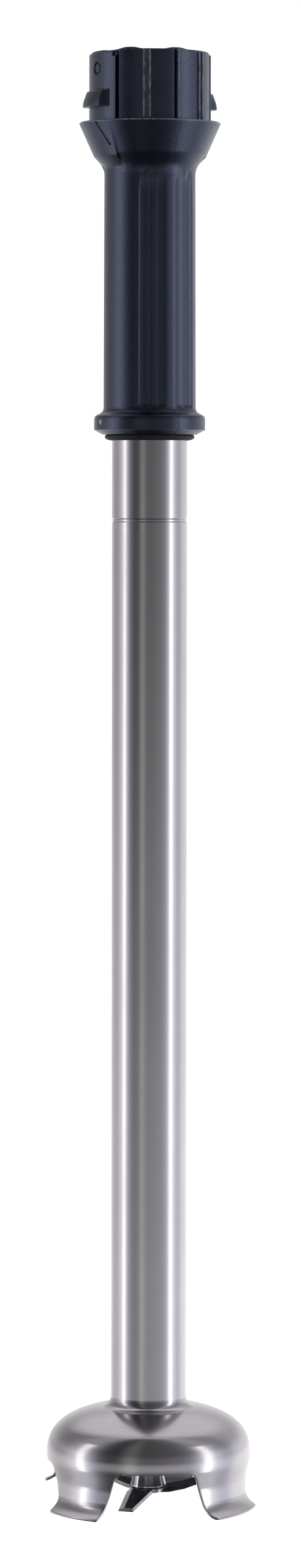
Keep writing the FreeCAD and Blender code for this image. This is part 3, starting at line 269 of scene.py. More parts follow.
class Recipe(NodeTree):
    """One material: its node tree, and short names for what is linked to its shader."""

    def __init__(self, name):
        self.material = bpy.data.materials.new(name)
        super().__init__(self.material)
        self.shader = self.tree.nodes["Principled BSDF"]
        self.coords = self.new("ShaderNodeTexCoord")

    def set(self, **amounts):
        for name, amount in amounts.items():
            self.shader.inputs[name.replace("_", " ")].default_value = amount

    def noise(self, stretch, detail=2.0, roughness=0.5):
        """Noise in object space; stretch holds its cycles per metre along X, Y and Z."""
        scale = self.new("ShaderNodeMapping")
        scale.inputs["Scale"].default_value = stretch
        self.link(self.coords.outputs["Object"], scale.inputs["Vector"])
        noise = self.new("ShaderNodeTexNoise")
        noise.inputs["Scale"].default_value = 1.0
        noise.inputs["Detail"].default_value = detail
        noise.inputs["Roughness"].default_value = roughness
        self.link(scale.outputs[0], noise.inputs["Vector"])
        return noise.outputs["Fac"]

    def spots(self, per_metre, size):
        """1 inside small round spots, 0 elsewhere."""
        cells = self.new("ShaderNodeTexVoronoi")
        cells.inputs["Scale"].default_value = per_metre
        self.link(self.coords.outputs["Object"], cells.inputs["Vector"])
        return self.ramp(cells.outputs["Distance"], size, size * 0.5)

    def blend(self, factor, dark, light):
        """Colour between two plain ones, by a factor."""
        return self.mix(factor, (*dark, 1), (*light, 1), data_type="RGBA")

    def over(self, factor, below, above):
        """Plain colour laid over another output, by a factor."""
        return self.mix(factor, below, (*above, 1), data_type="RGBA")

    def share(self, first, second, share):
        """Sum of a share of the first output and the rest of the second."""
        return self.math("ADD", self.math("MULTIPLY", second, 1 - share),
                         self.math("MULTIPLY", first, share))

    def mark(self, name):
        """Amount painted on the mesh's points by the code that made it; nothing where there is none."""
        return self.new("ShaderNodeAttribute", attribute_name=name).outputs["Fac"]

    def colour(self, output):
        self.link(output, self.shader.inputs["Base Color"])

    def roughness(self, output):
        self.link(output, self.shader.inputs["Roughness"])

    def bump(self, height, distance):
        node = self.new("ShaderNodeBump")
        node.inputs["Strength"].default_value = 1.0
        node.inputs["Distance"].default_value = distance
        self.link(height, node.inputs["Height"])
        self.link(node.outputs[0], self.shader.inputs["Normal"])


def moulded_plastic(name, dark, light, ior=MOULDING_IOR):
    """Spark-eroded moulding: sparkling grain, slight clouds, a cool sheen, dusty corners, and edges lightened
    by the wear mark, partly real wear and partly painted highlight.
    """
    recipe = Recipe(name)
    recipe.set(IOR=ior, Specular_IOR_Level=1.0, Specular_Tint=COOL_SHEEN)
    clouds = recipe.noise((60, 60, 60), detail=3)
    grain = recipe.noise((2400, 2400, 2400), detail=2, roughness=0.7)
    tone = recipe.share(grain, clouds, GRAIN_SHARE)
    clean = recipe.blend(recipe.ramp(tone, 0.48, 0.66), dark, light)
    patches = recipe.noise((700, 700, 260), detail=3)
    patchy = recipe.ramp(patches, 0.35, 0.6, 0.25, 1)
    # the wear mark lightens edges: partly real wear, partly painted highlight
    worn_and_lit = recipe.math("MULTIPLY", recipe.mark("wear"), patchy)
    dusty = recipe.math("MULTIPLY", recipe.mark("dust"), patchy)
    recipe.colour(recipe.over(dusty, recipe.over(worn_and_lit, clean, WEAR_AND_HIGHLIGHT_COLOUR), DUST_COLOUR))
    recipe.roughness(recipe.ramp(tone, 0.35, 0.65, *MOULDED_ROUGH))
    recipe.bump(grain, GRAIN_RELIEF)
    return recipe.material


def brushed_steel(name, dark, light, smoothest=0.14, roughest=0.21):
    """Steel brushed around the tube axis, with clouds, scratches and small pits; satin where marked."""
    recipe = Recipe(name)
    recipe.set(Metallic=1.0, Anisotropic=0.7)
    tangent = recipe.new("ShaderNodeTangent", direction_type="RADIAL", axis="Z")
    recipe.link(tangent.outputs[0], recipe.shader.inputs["Tangent"])
    lines = recipe.noise((70, 70, 9000), detail=3, roughness=0.65)
    clouds = recipe.noise((34, 34, 22), detail=3)
    scratches = recipe.noise((420, 420, 9000), detail=1)
    pits = recipe.spots(PIT_CELLS, PIT_SIZE)
    tone = recipe.share(lines, clouds, LINE_SHARE)
    clean = recipe.ramp(tone, *NOISE_SPAN)
    recipe.colour(recipe.blend(recipe.math("SUBTRACT", clean, pits), dark, light))
    satin = recipe.math("MULTIPLY", recipe.mark("satin"), SATIN_ROUGHNESS)
    recipe.roughness(recipe.math("ADD", recipe.ramp(tone, *NOISE_SPAN, roughest, smoothest), satin))
    relief = recipe.math("ADD", lines, recipe.math("MULTIPLY", scratches, SCRATCH_DEPTH))
    relief = recipe.math("SUBTRACT", relief, recipe.math("MULTIPLY", pits, PIT_DEPTH))
    recipe.bump(relief, BRUSH_RELIEF)
    return recipe.material


ANY_WAY, AROUND = (900, 900, 900), (60, 60, 3000)      # directions in which ground or turned marks run


def ground_steel(name, dark, light, rough=(0.16, 0.3), marks=ANY_WAY):
    """Machined or ground metal with cloudy tone and fine marks."""
    recipe = Recipe(name)
    recipe.set(Metallic=1.0)
    clouds = recipe.noise((90, 90, 90), detail=4)
    fine = recipe.noise(marks, detail=3, roughness=0.6)
    recipe.colour(recipe.blend(recipe.ramp(clouds, *NOISE_SPAN), dark, light))
    recipe.roughness(recipe.ramp(fine, *NOISE_SPAN, *rough))
    recipe.bump(fine, GROUND_RELIEF)
    return recipe.material


def soft_rubber(name, dark, light):
    """Matt rubber, patchy with dust."""
    recipe = Recipe(name)
    dust = recipe.noise((300, 300, 300), detail=4, roughness=0.6)
    fine = recipe.noise((2600, 2600, 2600), detail=2)
    recipe.colour(recipe.blend(recipe.ramp(dust, 0.35, 0.7), dark, light))
    recipe.roughness(recipe.ramp(fine, *NOISE_SPAN, *RUBBER_ROUGH))
    recipe.bump(fine, RUBBER_RELIEF)
    return recipe.material


plastic = moulded_plastic("black_moulding_look", (0.0008, 0.0008, 0.0015), (0.009, 0.010, 0.017))
steel = brushed_steel("brushed_steel_look", (0.61, 0.575, 0.60), (0.71, 0.675, 0.70))
blade_steel = ground_steel("blade_steel_look", (0.22, 0.21, 0.23), (0.42, 0.41, 0.44), rough=(0.08, 0.18))
hub_steel = ground_steel("hub_steel_look", (0.50, 0.48, 0.50), (0.68, 0.66, 0.68), (0.14, 0.24), AROUND)
shaft_steel = ground_steel("shaft_steel_look", (0.45, 0.45, 0.46), (0.66, 0.66, 0.67), marks=AROUND)
race_steel = ground_steel("bearing_steel_look", (0.60, 0.60, 0.62), (0.78, 0.78, 0.80), rough=(0.06, 0.14))
spring_steel = ground_steel("spring_steel_look", (0.08, 0.09, 0.12), (0.20, 0.21, 0.25), rough=(0.3, 0.45))
cast_metal = ground_steel("aluminium_look", (0.55, 0.55, 0.56), (0.74, 0.74, 0.76), rough=(0.32, 0.5))
bronze = ground_steel("bronze_look", (0.42, 0.24, 0.10), (0.62, 0.38, 0.17), rough=(0.3, 0.45))
zinc = ground_steel("zinc_look", (0.50, 0.50, 0.50), (0.72, 0.72, 0.70), rough=(0.25, 0.4))
rubber = soft_rubber("black_rubber_look", (0.010, 0.014, 0.019), (0.024, 0.031, 0.040))
cage_nylon = moulded_plastic("cage_nylon_look", (0.42, 0.32, 0.18), (0.56, 0.44, 0.28), NYLON_IOR)
dog_nylon = moulded_plastic("dog_nylon_look", (0.022, 0.022, 0.024), (0.045, 0.045, 0.048), NYLON_IOR)

LOOKS = {
    "black_moulding": plastic,
    "black_rubber": rubber,
    "brushed_stainless": steel,
    "blade_steel": blade_steel,
    "shaft_steel": shaft_steel,
    "bearing_steel": race_steel,
    "spring_steel": spring_steel,
    "cast_aluminium": cast_metal,
    "bush_bronze": bronze,
    "cage_nylon": cage_nylon,
    "dog_nylon": dog_nylon,
    "zinc_screw": zinc,
}


def dress_frame():
    """Gives every CAD node the look of its material slot; the hub is turned bright among blackened blades."""
    for row in frame["record"]["subparts"]:
        mesh = nodes[row["node"]].data
        mesh.materials.clear()
        mesh.materials.append(LOOKS[row["material_slot"]])
    nodes["blade_hub"].data.materials[0] = hub_steel


dress_frame()


# ---------------------------------------------------------------- mesh helpers
# Angles are in degrees from -Y, positive towards +X.  Radii and heights are in millimetres until points
# are placed, and from there on in metres.

CRISP_ANGLE = math.radians(40)
RING_COLUMNS = 240
CORNER_POINTS = 17
LONGEST_LEG = 0.49            # part of a side that a rounded corner may take


def ease(value, start, stop):
    """0 before start, 1 after stop, smooth between."""
    share = np.clip((value - start) / (stop - start), 0, 1)
    return share * share * (3 - 2 * share)


def wrap_half(angle):
    """Angle less whole half turns, between -90 and 90."""
    return (angle + 90) % 180 - 90


def plateau(value, centre, half, edge):
    """1 within half of centre, easing to 0 over edge beyond it."""
    return 1 - ease(np.abs(value - centre), half, half + edge)


def soft_min(first, second, rounding):
    """Smaller of two, with the crease between them rounded off."""
    mix = np.clip(0.5 + 0.5 * (second - first) / rounding, 0, 1)
    return second + (first - second) * mix - rounding * mix * (1 - mix)


def stations(low, high, coarse, fine_spans=()):
    """Positions from low to high, coarse apart, and finer inside each (start, stop, step) span."""
    marks = [np.linspace(low, high, max(2, math.ceil((high - low) / coarse) + 1))]
    for start, stop, step in fine_spans:
        inside = marks[0][(marks[0] <= start) | (marks[0] >= stop)]
        marks = [np.concatenate([inside, np.linspace(start, stop, math.ceil((stop - start) / step) + 1)])]
    return np.unique(np.round(marks[0], 4))


def rounded_path(corners):
    """Fine (radius, height) path through (radius, height, rounding) corners, curved at each rounded one."""
    points = [np.array(corner[:2], float) for corner in corners]
    path = [points[0]]
    for before, here, after, corner in zip(points, points[1:], points[2:], corners[1:]):
        toward, away = before - here, after - here
        lengths = np.linalg.norm(toward), np.linalg.norm(away)
        toward, away = toward / lengths[0], away / lengths[1]
        half_turn = (math.pi - math.acos(np.clip(toward @ away, -1, 1))) / 2
        leg = min(corner[2] * math.tan(half_turn), LONGEST_LEG * min(lengths))
        start, stop = here + toward * leg, here + away * leg
        for share in np.linspace(0, 1, CORNER_POINTS):
            path.append(start * (1 - share) ** 2 + here * 2 * share * (1 - share) + stop * share ** 2)
    path.append(points[-1])
    return np.array(path)


def radius_at(path, height):
    """Radius of a falling path at each height."""
    return np.interp(-np.asarray(height), -path[:, 1], path[:, 0])


def place_points(radius, angle, height):
    """Rows and columns of points in metres from radii, angles and heights that broadcast together."""
    turn = np.radians(angle)
    return np.stack(np.broadcast_arrays(radius * np.sin(turn), -radius * np.cos(turn), height), axis=-1) * MM


def number_grid(points, first=0):
    """Table of point numbers for rows and columns of points."""
    return first + np.arange(points[..., 0].size).reshape(points.shape[:2])


def quads(numbers):
    """Quads between the neighbouring rows and columns of a table of point numbers."""
    corners = numbers[:-1, :-1], numbers[:-1, 1:], numbers[1:, 1:], numbers[1:, :-1]
    return np.stack(corners, axis=-1).reshape(-1, 4).tolist()


def closed_quads(points):
    """Quads over a grid of points that closes on itself both ways."""
    return quads(np.pad(number_grid(points), (0, 1), mode="wrap"))


def finish_skin(work, mesh):
    """Writes a mesh back with its faces turned outwards, smooth apart from edges past the crisp angle."""
    bmesh.ops.recalc_face_normals(work, faces=work.faces)
    for face in work.faces:
        face.smooth = True
    for edge in work.edges:
        edge.smooth = not edge.is_manifold or edge.calc_face_angle() < CRISP_ANGLE
    work.to_mesh(mesh)
    work.free()


def make_piece(name, points, faces, material, **marks):
    """Named mesh object; marks are amounts per point that a material can read."""
    mesh = bpy.data.meshes.new(name)
    mesh.from_pydata(points.reshape(-1, 3).tolist(), [], faces)
    mesh.materials.append(material)
    for mark, amounts in marks.items():
        layer = mesh.attributes.new(mark, "FLOAT", "POINT")
        layer.data.foreach_set("value", np.ravel(amounts).astype(np.float32))
    work = bmesh.new()
    work.from_mesh(mesh)
    finish_skin(work, mesh)
    piece = bpy.data.objects.new(name, mesh)
    scene.collection.objects.link(piece)
    return piece


def apply_modifier(piece, kind, **settings):
    """Adds a modifier to a piece and applies it."""
    modifier = piece.modifiers.new(kind.title(), kind)
    for name, amount in settings.items():
        setattr(modifier, name, amount)
    bpy.context.view_layer.objects.active = piece
    bpy.ops.object.modifier_apply(modifier=modifier.name)


def turned_ring(name, outline, material):
    """Ring turned from a closed (radius, height) outline."""
    angle = np.linspace(-180, 180, RING_COLUMNS + 1)[:-1]
    points = place_points(outline[:, :1], angle, outline[:, 1:])
    return make_piece(name, points, closed_quads(points), material)


def stand_for(piece, node, body):
    """Puts a piece in the place of a CAD node."""
    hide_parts(node)
    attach(piece, body)


# ---------------------------------------------------------------- coupling head

PANEL_MIDDLE = -63.0          # one raised panel and its lug; the other is opposite
HEAD_RADIUS, HEAD_TOP = 30.3, 35.5
WALL_TOP = HEAD_TOP - 2.0     # above it the rows follow the wavy crown
HEAD_STEP, WALL_STEP = 1.2, 1.6
FLANGE_RADIUS, FLANGE_TOP, FLANGE_FOOT = 31.9, -3.2, -5.2
BORE_RADIUS, BORE_FLOOR, BORE_EASE = 25.0, -6.0, 0.4
DOG_POCKET_RADIUS, HEAD_BASE = 13.0, -20.0
SCREW_CIRCLE, SCREW_RECESS, SCREW_DEPTH, SCREW_ANGLE = 17 * MM, 3.7 * MM, 3.4 * MM, 72
SCREW_HOLE_SIDES = 48

# features of the barrel as (middle, half width, width of the slope beside it), for plateau
PANEL_RISE, PANEL_TOP, PANEL = 0.7, 34.4, (0, 28.8, 0.7)
GROOVE_DEPTH, GROOVE = 1.5, (30.1, 1.15, 0.5)
NOTCH, NOTCH_UP = (28.1, 2.6, 0.4), (PANEL_TOP - 1.2, 0.7, 0.4)
RIB_RISE, TWIN_RIBS, TWIN_RIB = 0.85, 60.0, (1.5, 0.34, 0.30)
LONE_RISE, LONE_RIB = 1.3, (0.15, 0.45, 0.7)
LONE_SINK, LONE_GROOVE = 0.8, (-1.25, 0.3, 0.3)
MARK_SIDE, MARK_HEIGHT, MARK_RADIUS = 2.7, 26.4, 3.1
RING_DEPTH, MARK_RING = 0.65, (MARK_RADIUS - 0.3, 0.25, 0.45)
DISC_DEPTH, MARK_DISC = 0.3, (0, MARK_RADIUS, 0.3)
# these marks lighten the rib tops and the crown's edge: partly wear, partly painted highlight
TWIN_WEAR_AND_HIGHLIGHT, LONE_WEAR_AND_HIGHLIGHT, DUSTY_GAP = (1.5, 0.4, 0.25), (0.65, 0.35, 0.3), (0, 0.8, 0.3)
LIP_WEAR_AND_HIGHLIGHT = 0.30
CROWN_WAVES = ((0.9, (42.5, 3, 11)), (0.8, (90, 3, 11)), (-1.1, (-24, 3, 12)), (-0.35, (21, 2, 9)))
SHOULDER_START, SHOULDER_RADIUS = 0.62, 1.0

LUG_FOOT, LUG_TOP, LUG_HALF, LUG_RAMP = 7.0, 15.9, 21.6, 6.5
LUG_SECTION = rounded_path([
    (HEAD_RADIUS, LUG_TOP + 0.02, 0), (31.0, LUG_TOP, 0.2), (32.9, LUG_TOP - 1.0, 0.8), (34.7, 10.0, 4),
    (35.0, LUG_FOOT + 0.4, 0.4), (34.6, LUG_FOOT - 0.02, 0),
])
HEAD_INSIDE = (               # radius, height, and 1 where the height is from the crown
    (27.6, 0.05, 1), (BORE_RADIUS + 0.5, 0, 1), (BORE_RADIUS, -0.5, 1), (BORE_RADIUS, 12, 0),
    (BORE_RADIUS, BORE_FLOOR + BORE_EASE, 0), (BORE_RADIUS - BORE_EASE, BORE_FLOOR, 0),
    (DOG_POCKET_RADIUS + BORE_EASE, BORE_FLOOR, 0), (DOG_POCKET_RADIUS, BORE_FLOOR - BORE_EASE, 0),
    (DOG_POCKET_RADIUS, HEAD_BASE, 0), (21.5, HEAD_BASE, 0), (25.0, -17.4, 0), (29.6, FLANGE_FOOT, 0),
)
# finer columns and rows, as (start, stop, step)
PANEL_SPANS = ((-31, -27, 0.35), (-23, -13, 0.6), (-3, 9, 0.3), (13, 23, 0.5), (26.5, 32.5, 0.22))
RIB_SPANS = tuple((rib - 4.5, rib + 4.5, 0.22) for rib in (-60, 60, 90))
HEAD_ROWS = (
    (LUG_FOOT - 0.5, LUG_FOOT + 0.9, 0.14), (LUG_TOP - 2.0, LUG_TOP + 0.3, 0.14),
    (MARK_HEIGHT - 4, MARK_HEIGHT + 4, 0.3), (PANEL_TOP - 2.4, WALL_TOP, 0.2),
)


def from_panel(angle):
    """Angle from the middle of the nearest raised panel, between -90 and 90."""
    return wrap_half(angle - PANEL_MIDDLE)


def head_crown(side):
    """Height of the wavy top edge."""
    waves = [rise * plateau(wrap_half(side - middle), 0, half, slope)
             for rise, (middle, half, slope) in CROWN_WAVES]
    return HEAD_TOP + sum(waves)


def head_wall(side, height):
    """Radius of the barrel with its panels, grooves, ribs, lugs and finger marks."""
    below_top = 1 - ease(height, PANEL_TOP - 0.5, PANEL_TOP + 0.3)
    radius = HEAD_RADIUS + PANEL_RISE * plateau(side, *PANEL) * below_top
    notch = plateau(side, *NOTCH) * plateau(height, *NOTCH_UP)
    groove = plateau(side, *GROOVE) * (1 - ease(height, PANEL_TOP - 1.0, PANEL_TOP - 0.3))
    radius = radius - GROOVE_DEPTH * np.maximum(groove, notch)
    across = np.radians(abs(side) - TWIN_RIBS) * HEAD_RADIUS
    pointed = 1 - ease(height + 0.35 * abs(across), HEAD_TOP - 1.0, HEAD_TOP - 0.1)
    twins = plateau(abs(across), *TWIN_RIB) * pointed
    off_seam = np.radians(wrap_half(side - 90)) * HEAD_RADIUS
    below_crown = 1 - ease(height, HEAD_TOP - 0.8, HEAD_TOP)
    lone = LONE_RISE * plateau(off_seam, *LONE_RIB) - LONE_SINK * plateau(off_seam, *LONE_GROOVE)
    radius = radius + RIB_RISE * (twins + lone * below_crown)
    inside_lug = (height > LUG_FOOT) & (height < LUG_TOP)
    reach = np.where(inside_lug, radius_at(LUG_SECTION, height) - HEAD_RADIUS - PANEL_RISE, 0)
    radius = radius + np.maximum(reach, 0) * np.clip((LUG_HALF - abs(side)) / LUG_RAMP, 0, 1)
    spot = np.hypot(np.radians(side - MARK_SIDE) * HEAD_RADIUS, height - MARK_HEIGHT)
    return radius - RING_DEPTH * plateau(spot, *MARK_RING) - DISC_DEPTH * plateau(spot, *MARK_DISC)


def head_marks(angle, height):
    """Wear and painted highlight on the ribs and the crown's edge, and dust between the twin ones, at each
    angle and height.
    """
    side = from_panel(angle)
    across = np.radians(abs(side) - TWIN_RIBS) * HEAD_RADIUS
    off_seam = np.radians(wrap_half(side - 90)) * HEAD_RADIUS
    up = ease(height, 0, 1) * (1 - ease(height, HEAD_TOP - 1.2, HEAD_TOP))
    wear = np.maximum(plateau(abs(across), *TWIN_WEAR_AND_HIGHLIGHT), plateau(off_seam, *LONE_WEAR_AND_HIGHLIGHT)) * up
    lip = LIP_WEAR_AND_HIGHLIGHT * ease(height, HEAD_TOP - 1.0, HEAD_TOP - 0.2)
    return np.maximum(wear, lip), plateau(across, *DUSTY_GAP) * up


def coupling_head():
    """Bayonet barrel: a closed skin from the flange up the outside, over the crown and into the bore."""
    spans = [(middle + start, middle + stop, step) for middle in (PANEL_MIDDLE, PANEL_MIDDLE + 180)
             for start, stop, step in PANEL_SPANS + RIB_SPANS]
    angle = stations(-180, 180, HEAD_STEP, [span for span in spans if span[1] < 180])[:-1]
    side = from_panel(angle)
    crown = head_crown(side)
    level = np.zeros_like(side)
    lift = stations(FLANGE_TOP, WALL_TOP, WALL_STEP, HEAD_ROWS)
    rows = [(FLANGE_RADIUS + level, FLANGE_FOOT + level), (FLANGE_RADIUS + level, FLANGE_TOP + level)]
    rows += [(head_wall(side, height), height + level) for height in lift]
    climb = crown - lift[-1]
    for share in np.linspace(0.15, SHOULDER_START, 6):
        height = lift[-1] + climb * share
        rows.append((head_wall(side, height), height))
    shoulder = rows[-1][0]
    for share in np.linspace(0.2, 1, 5):
        bend = math.radians(90 * share)
        rows.append((shoulder - SHOULDER_RADIUS * (1 - math.cos(bend)),
                     crown - climb * (1 - SHOULDER_START) * (1 - math.sin(bend))))
    rows += [(radius + level, height + from_crown * crown) for radius, height, from_crown in HEAD_INSIDE]
    radius, height = (np.array(values) for values in zip(*rows))
    points = place_points(radius, angle, height)
    wear, dust = head_marks(angle, height)
    outside = radius > HEAD_RADIUS - GROOVE_DEPTH
    head = make_piece("coupling_barrel", points, closed_quads(points), plastic,
                      wear=wear * outside, dust=dust * outside)
    drill_screw_holes(head)
    stand_for(head, "coupling_head", "arm")


def drill_screw_holes(head):
    """Round recesses in the floor of the bore, wide enough for the four cap screws of the frame."""
    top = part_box("coupling_screws")[1].z
    cutters = bmesh.new()
    for quarter in range(4):
        turn = math.radians(SCREW_ANGLE + 90 * quarter)
        spot = Matrix.Translation((SCREW_CIRCLE * math.sin(turn), -SCREW_CIRCLE * math.cos(turn), top))
        bmesh.ops.create_cone(cutters, cap_ends=True, segments=SCREW_HOLE_SIDES, radius1=SCREW_RECESS,
                              radius2=SCREW_RECESS, depth=2 * SCREW_DEPTH, matrix=spot)
    mesh = bpy.data.meshes.new("screw_holes")
    cutters.to_mesh(mesh)
    cutters.free()
    tool = bpy.data.objects.new("screw_holes", mesh)
    scene.collection.objects.link(tool)
    apply_modifier(head, "BOOLEAN", object=tool, operation="DIFFERENCE", solver="EXACT")
    bpy.data.objects.remove(tool)


# ---------------------------------------------------------------- grip shells

SEAM = PANEL_MIDDLE + 90      # one seam between the shells; the other is opposite
SEAM_GAP, SEAM_FLOOR, SEAM_EDGE, SEAM_DEPTH = 0.018, 0.02, 0.14, 0.07
SEAM_AT_COLLAR, SEAM_AT_RING = -1.8, 4.0      # degrees by which it steps aside there
SEAM_RAGS = ((0.35, 4.1, 0), (0.22, 9.7, 1))  # waves of its ragged part: degrees, pace and phase
CONE_PANEL_HALF = 28.0
GRIP_RADIUS = 23.35
GRIP_FOOT = -158.8
COLLAR = [(35.4, 0, 0), (36.1, -0.55, 0.3)]
RING = [(23.5, -145.5, 5), (24.2, -147.4, 2.5), (27.9, -149.4, 1.0), (28.3, -151.0, 1.2),
        (28.3, -156.4, 0.25), (24.0, GRIP_FOOT, 0)]
PLAIN_SECTION = rounded_path(COLLAR + [(28.7, -16.4, 8), (23.2, -23.8, 10)] + RING)
PANEL_SECTION = rounded_path(COLLAR + [(28.4, -17.7, 0.5), (23.2, -23.0, 3)] + RING)
SHELL_BORE = rounded_path([
    (31.15, 0, 0), (31.15, -3.0, 0), (32.05, -3.02, 0), (32.05, -5.35, 0), (31.0, -5.37, 0), (25.4, -17.4, 0),
    (20.6, -25.5, 0), (20.6, -136.5, 0), (19.15, -138.0, 0), (19.15, GRIP_FOOT, 0),
])
DEEP_FLUTE = (30.6, 8.0, 1.6)         # angle from the seam, radius of the cutter, depth
SHALLOW_FLUTE = (14.0, 12.0, 0.55)
FLUTE_TOP, FLUTE_FOOT, FLUTE_FADE, FLUTE_CLEAR = -26.0, -147.4, 3.6, 0.6
CRISP_CREASE, PLAIN_CREASE, SOFT_CREASE = 0.10, 0.30, 0.35
RIDGE_ANGLE, RIDGE_RISE, RIDGE_WIDTH = 40.5, 0.16, 1.0
ARROW = ((-49.8, -1.7), (-41.4, -12.3), (-57.6, -12.4))      # (angle, height) of its corners
ARROW_RADIUS, ARROW_DEPTH, HAIRLINE_DEPTH = 33.5, 0.65, 0.10
ARROW_SIDE, ARROW_HAIR = (0, 0.30, 0.50), (0, 0.08, 0.28)
PIN_HEIGHT, PIN_RADIUS, PIN_DEPTH, PIN_EDGE = -152.6, 1.6, 0.5, 0.25
FLASH_HEIGHT, FLASH_RISE, FLASH_RAGGED, FLASH_WIDTH = -156.5, 0.10, 0.07, 0.2
# these marks lighten edges: partly wear, partly painted highlight along the rim, the flute ridges and the
# flash line
RIDGE_WEAR_AND_HIGHLIGHT, RIM_WEAR_AND_HIGHLIGHT, FLASH_WEAR_AND_HIGHLIGHT = 0.22, 0.7, 0.35
RIDGE_MARK_WIDTH, RIM_MARK_BAND, FLASH_MARK_BAND = 0.9, (-0.45, 0.3, 0.3), (FLASH_HEIGHT, 0.1, 0.2)

# columns by angle from the seam and rows down from the rim; finer ones as (start, stop, step)
SHELL_STEP, ROW_STEP = 1.5, 4.0
FLUTE_SPANS = [(4, 17, 1.0), (17, 44, 0.7), (136, 163, 0.7), (163, 176, 1.0)]
PANEL_EDGE_SPANS = [(60, 65, 0.6), (94.4, 112.8, 0.42), (115, 120, 0.6)]
SHELL_ROWS = [(0, 13.2, 0.27), (13.2, 31, 0.45), (138, 151, 0.4), (151, 155.8, 0.3),
              (155.8, -GRIP_FOOT, 0.16)]


def flute(off_seam, shape, fade):
    """How far the bottom of a round flute lies above the grip's surface: below zero inside it."""
    angle, radius, depth = shape
    centre = GRIP_RADIUS + radius - depth + (1 - fade) * (depth + FLUTE_CLEAR)
    turn = np.radians(off_seam - angle)
    inside = radius ** 2 - (centre * np.sin(turn)) ** 2
    return np.where(inside > 0, centre * np.cos(turn) - np.sqrt(np.maximum(inside, 0)) - GRIP_RADIUS, depth)


def segment_distance(along, height, start, stop):
    """Distance in the unrolled collar from points to the line between two corners."""
    reach = np.array(stop) - np.array(start)
    share = np.clip(((along - start[0]) * reach[0] + (height - start[1]) * reach[1]) / (reach @ reach), 0, 1)
    return np.hypot(along - start[0] - share * reach[0], height - start[1] - share * reach[1])


def arrow_cut(angle, height):
    """Depth of the triangular mark: one deep side and two hairlines."""
    unrolled = math.radians(1) * ARROW_RADIUS
    top, right, left = [(corner[0] * unrolled, corner[1]) for corner in ARROW]
    deep = plateau(segment_distance(angle * unrolled, height, top, right), *ARROW_SIDE)
    hairs = [plateau(segment_distance(angle * unrolled, height, *side), *ARROW_HAIR)
             for side in ((right, left), (left, top))]
    return ARROW_DEPTH * deep + HAIRLINE_DEPTH * np.maximum(*hairs)


def seam_shift(height):
    """Degrees by which the seam strays: aside at the collar, and aside and ragged across the bottom ring."""
    down = -height
    ragged = sum(size * np.sin(height * pace + phase) for size, pace, phase in SEAM_RAGS)
    at_ring = SEAM_AT_RING * ease(down, 146, 148.6) + ragged * ease(down, 148, 149)
    return at_ring + SEAM_AT_COLLAR * (1 - ease(down, 18, 25))


def shell_wall(angle, height):
    """Radius of the outside of the grip at each angle and height."""
    side = from_panel(angle)
    raised = 1 - ease(abs(side), CONE_PANEL_HALF - 1.5, CONE_PANEL_HALF + 1.8)
    radius = radius_at(PLAIN_SECTION, height) * (1 - raised) + radius_at(PANEL_SECTION, height) * raised
    off_seam = abs(wrap_half(angle - SEAM))
    below_collar = 1 - ease(height, FLUTE_TOP - 7, FLUTE_TOP + 5)
    fade = ease(height, FLUTE_FOOT, FLUTE_FOOT + FLUTE_FADE) * below_collar
    ridge = RIDGE_RISE * np.exp(-((off_seam - RIDGE_ANGLE) / RIDGE_WIDTH) ** 2) * fade
    crease = np.where(off_seam > DEEP_FLUTE[0], CRISP_CREASE, PLAIN_CREASE)
    sunk = soft_min(ridge, flute(off_seam, DEEP_FLUTE, fade), crease)
    sunk = soft_min(sunk, flute(off_seam, SHALLOW_FLUTE, fade), SOFT_CREASE)
    radius = radius + sunk - arrow_cut(angle, height)
    gap = np.radians(abs(wrap_half(angle - SEAM - seam_shift(height)))) * radius
    radius = radius - SEAM_DEPTH * (1 - ease(gap, SEAM_FLOOR, SEAM_EDGE))
    pin = np.hypot(np.radians(side) * radius, height - PIN_HEIGHT)
    radius = radius - PIN_DEPTH * (1 - ease(pin, PIN_RADIUS, PIN_RADIUS + PIN_EDGE))
    flash = FLASH_RISE + FLASH_RAGGED * np.sin(angle * 1.7) * np.sin(angle * 0.61 + 2)
    return radius + flash * np.exp(-((height - FLASH_HEIGHT) / FLASH_WIDTH) ** 2)


def shell_wear(angle, height):
    """Edges lightened partly for wear and partly as painted highlight: the collar's rim, the ridges beside
    the deep flutes, the flash line of the bottom ring.
    """
    off_seam = abs(wrap_half(angle - SEAM))
    along = ease(-height, 30, 36) * (1 - ease(-height, 134, 141))
    ridge = np.exp(-((off_seam - RIDGE_ANGLE) / RIDGE_MARK_WIDTH) ** 2) * along
    rim, flash = plateau(height, *RIM_MARK_BAND), plateau(height, *FLASH_MARK_BAND)
    return RIDGE_WEAR_AND_HIGHLIGHT * ridge + RIM_WEAR_AND_HIGHLIGHT * rim + FLASH_WEAR_AND_HIGHLIGHT * flash


def grip_shell(name, start):
    """Half of the grip moulding between its two seams, closed along both of them."""
    gap = math.degrees(SEAM_GAP / GRIP_RADIUS)
    seam_spans = [(gap, 2, 0.25), (178, 180 - gap, 0.25)]
    around = stations(gap, 180 - gap, SHELL_STEP, seam_spans + FLUTE_SPANS + PANEL_EDGE_SPANS)
    height = -stations(0, -GRIP_FOOT, ROW_STEP, SHELL_ROWS)[:, None]
    angle = start + seam_shift(height) + around
    outer = place_points(shell_wall(angle, height), angle, height)
    inner = place_points(radius_at(SHELL_BORE, height), angle, height)
    points = np.vstack([outer, inner[::-1]])
    numbers = number_grid(points)
    faces = quads(np.vstack([numbers, numbers[:1]]))
    outside, inside = numbers[:len(outer)], numbers[len(outer):][::-1]
    for column in (0, -1):
        faces += quads(np.stack([outside[:, column], inside[:, column]], axis=1))
    wear = np.vstack([shell_wear(angle, height), 0 * angle])
    shell = make_piece(name + "_moulding", points, faces, plastic, wear=wear)
    stand_for(shell, name, "arm")


# ---------------------------------------------------------------- seal ring under the grip

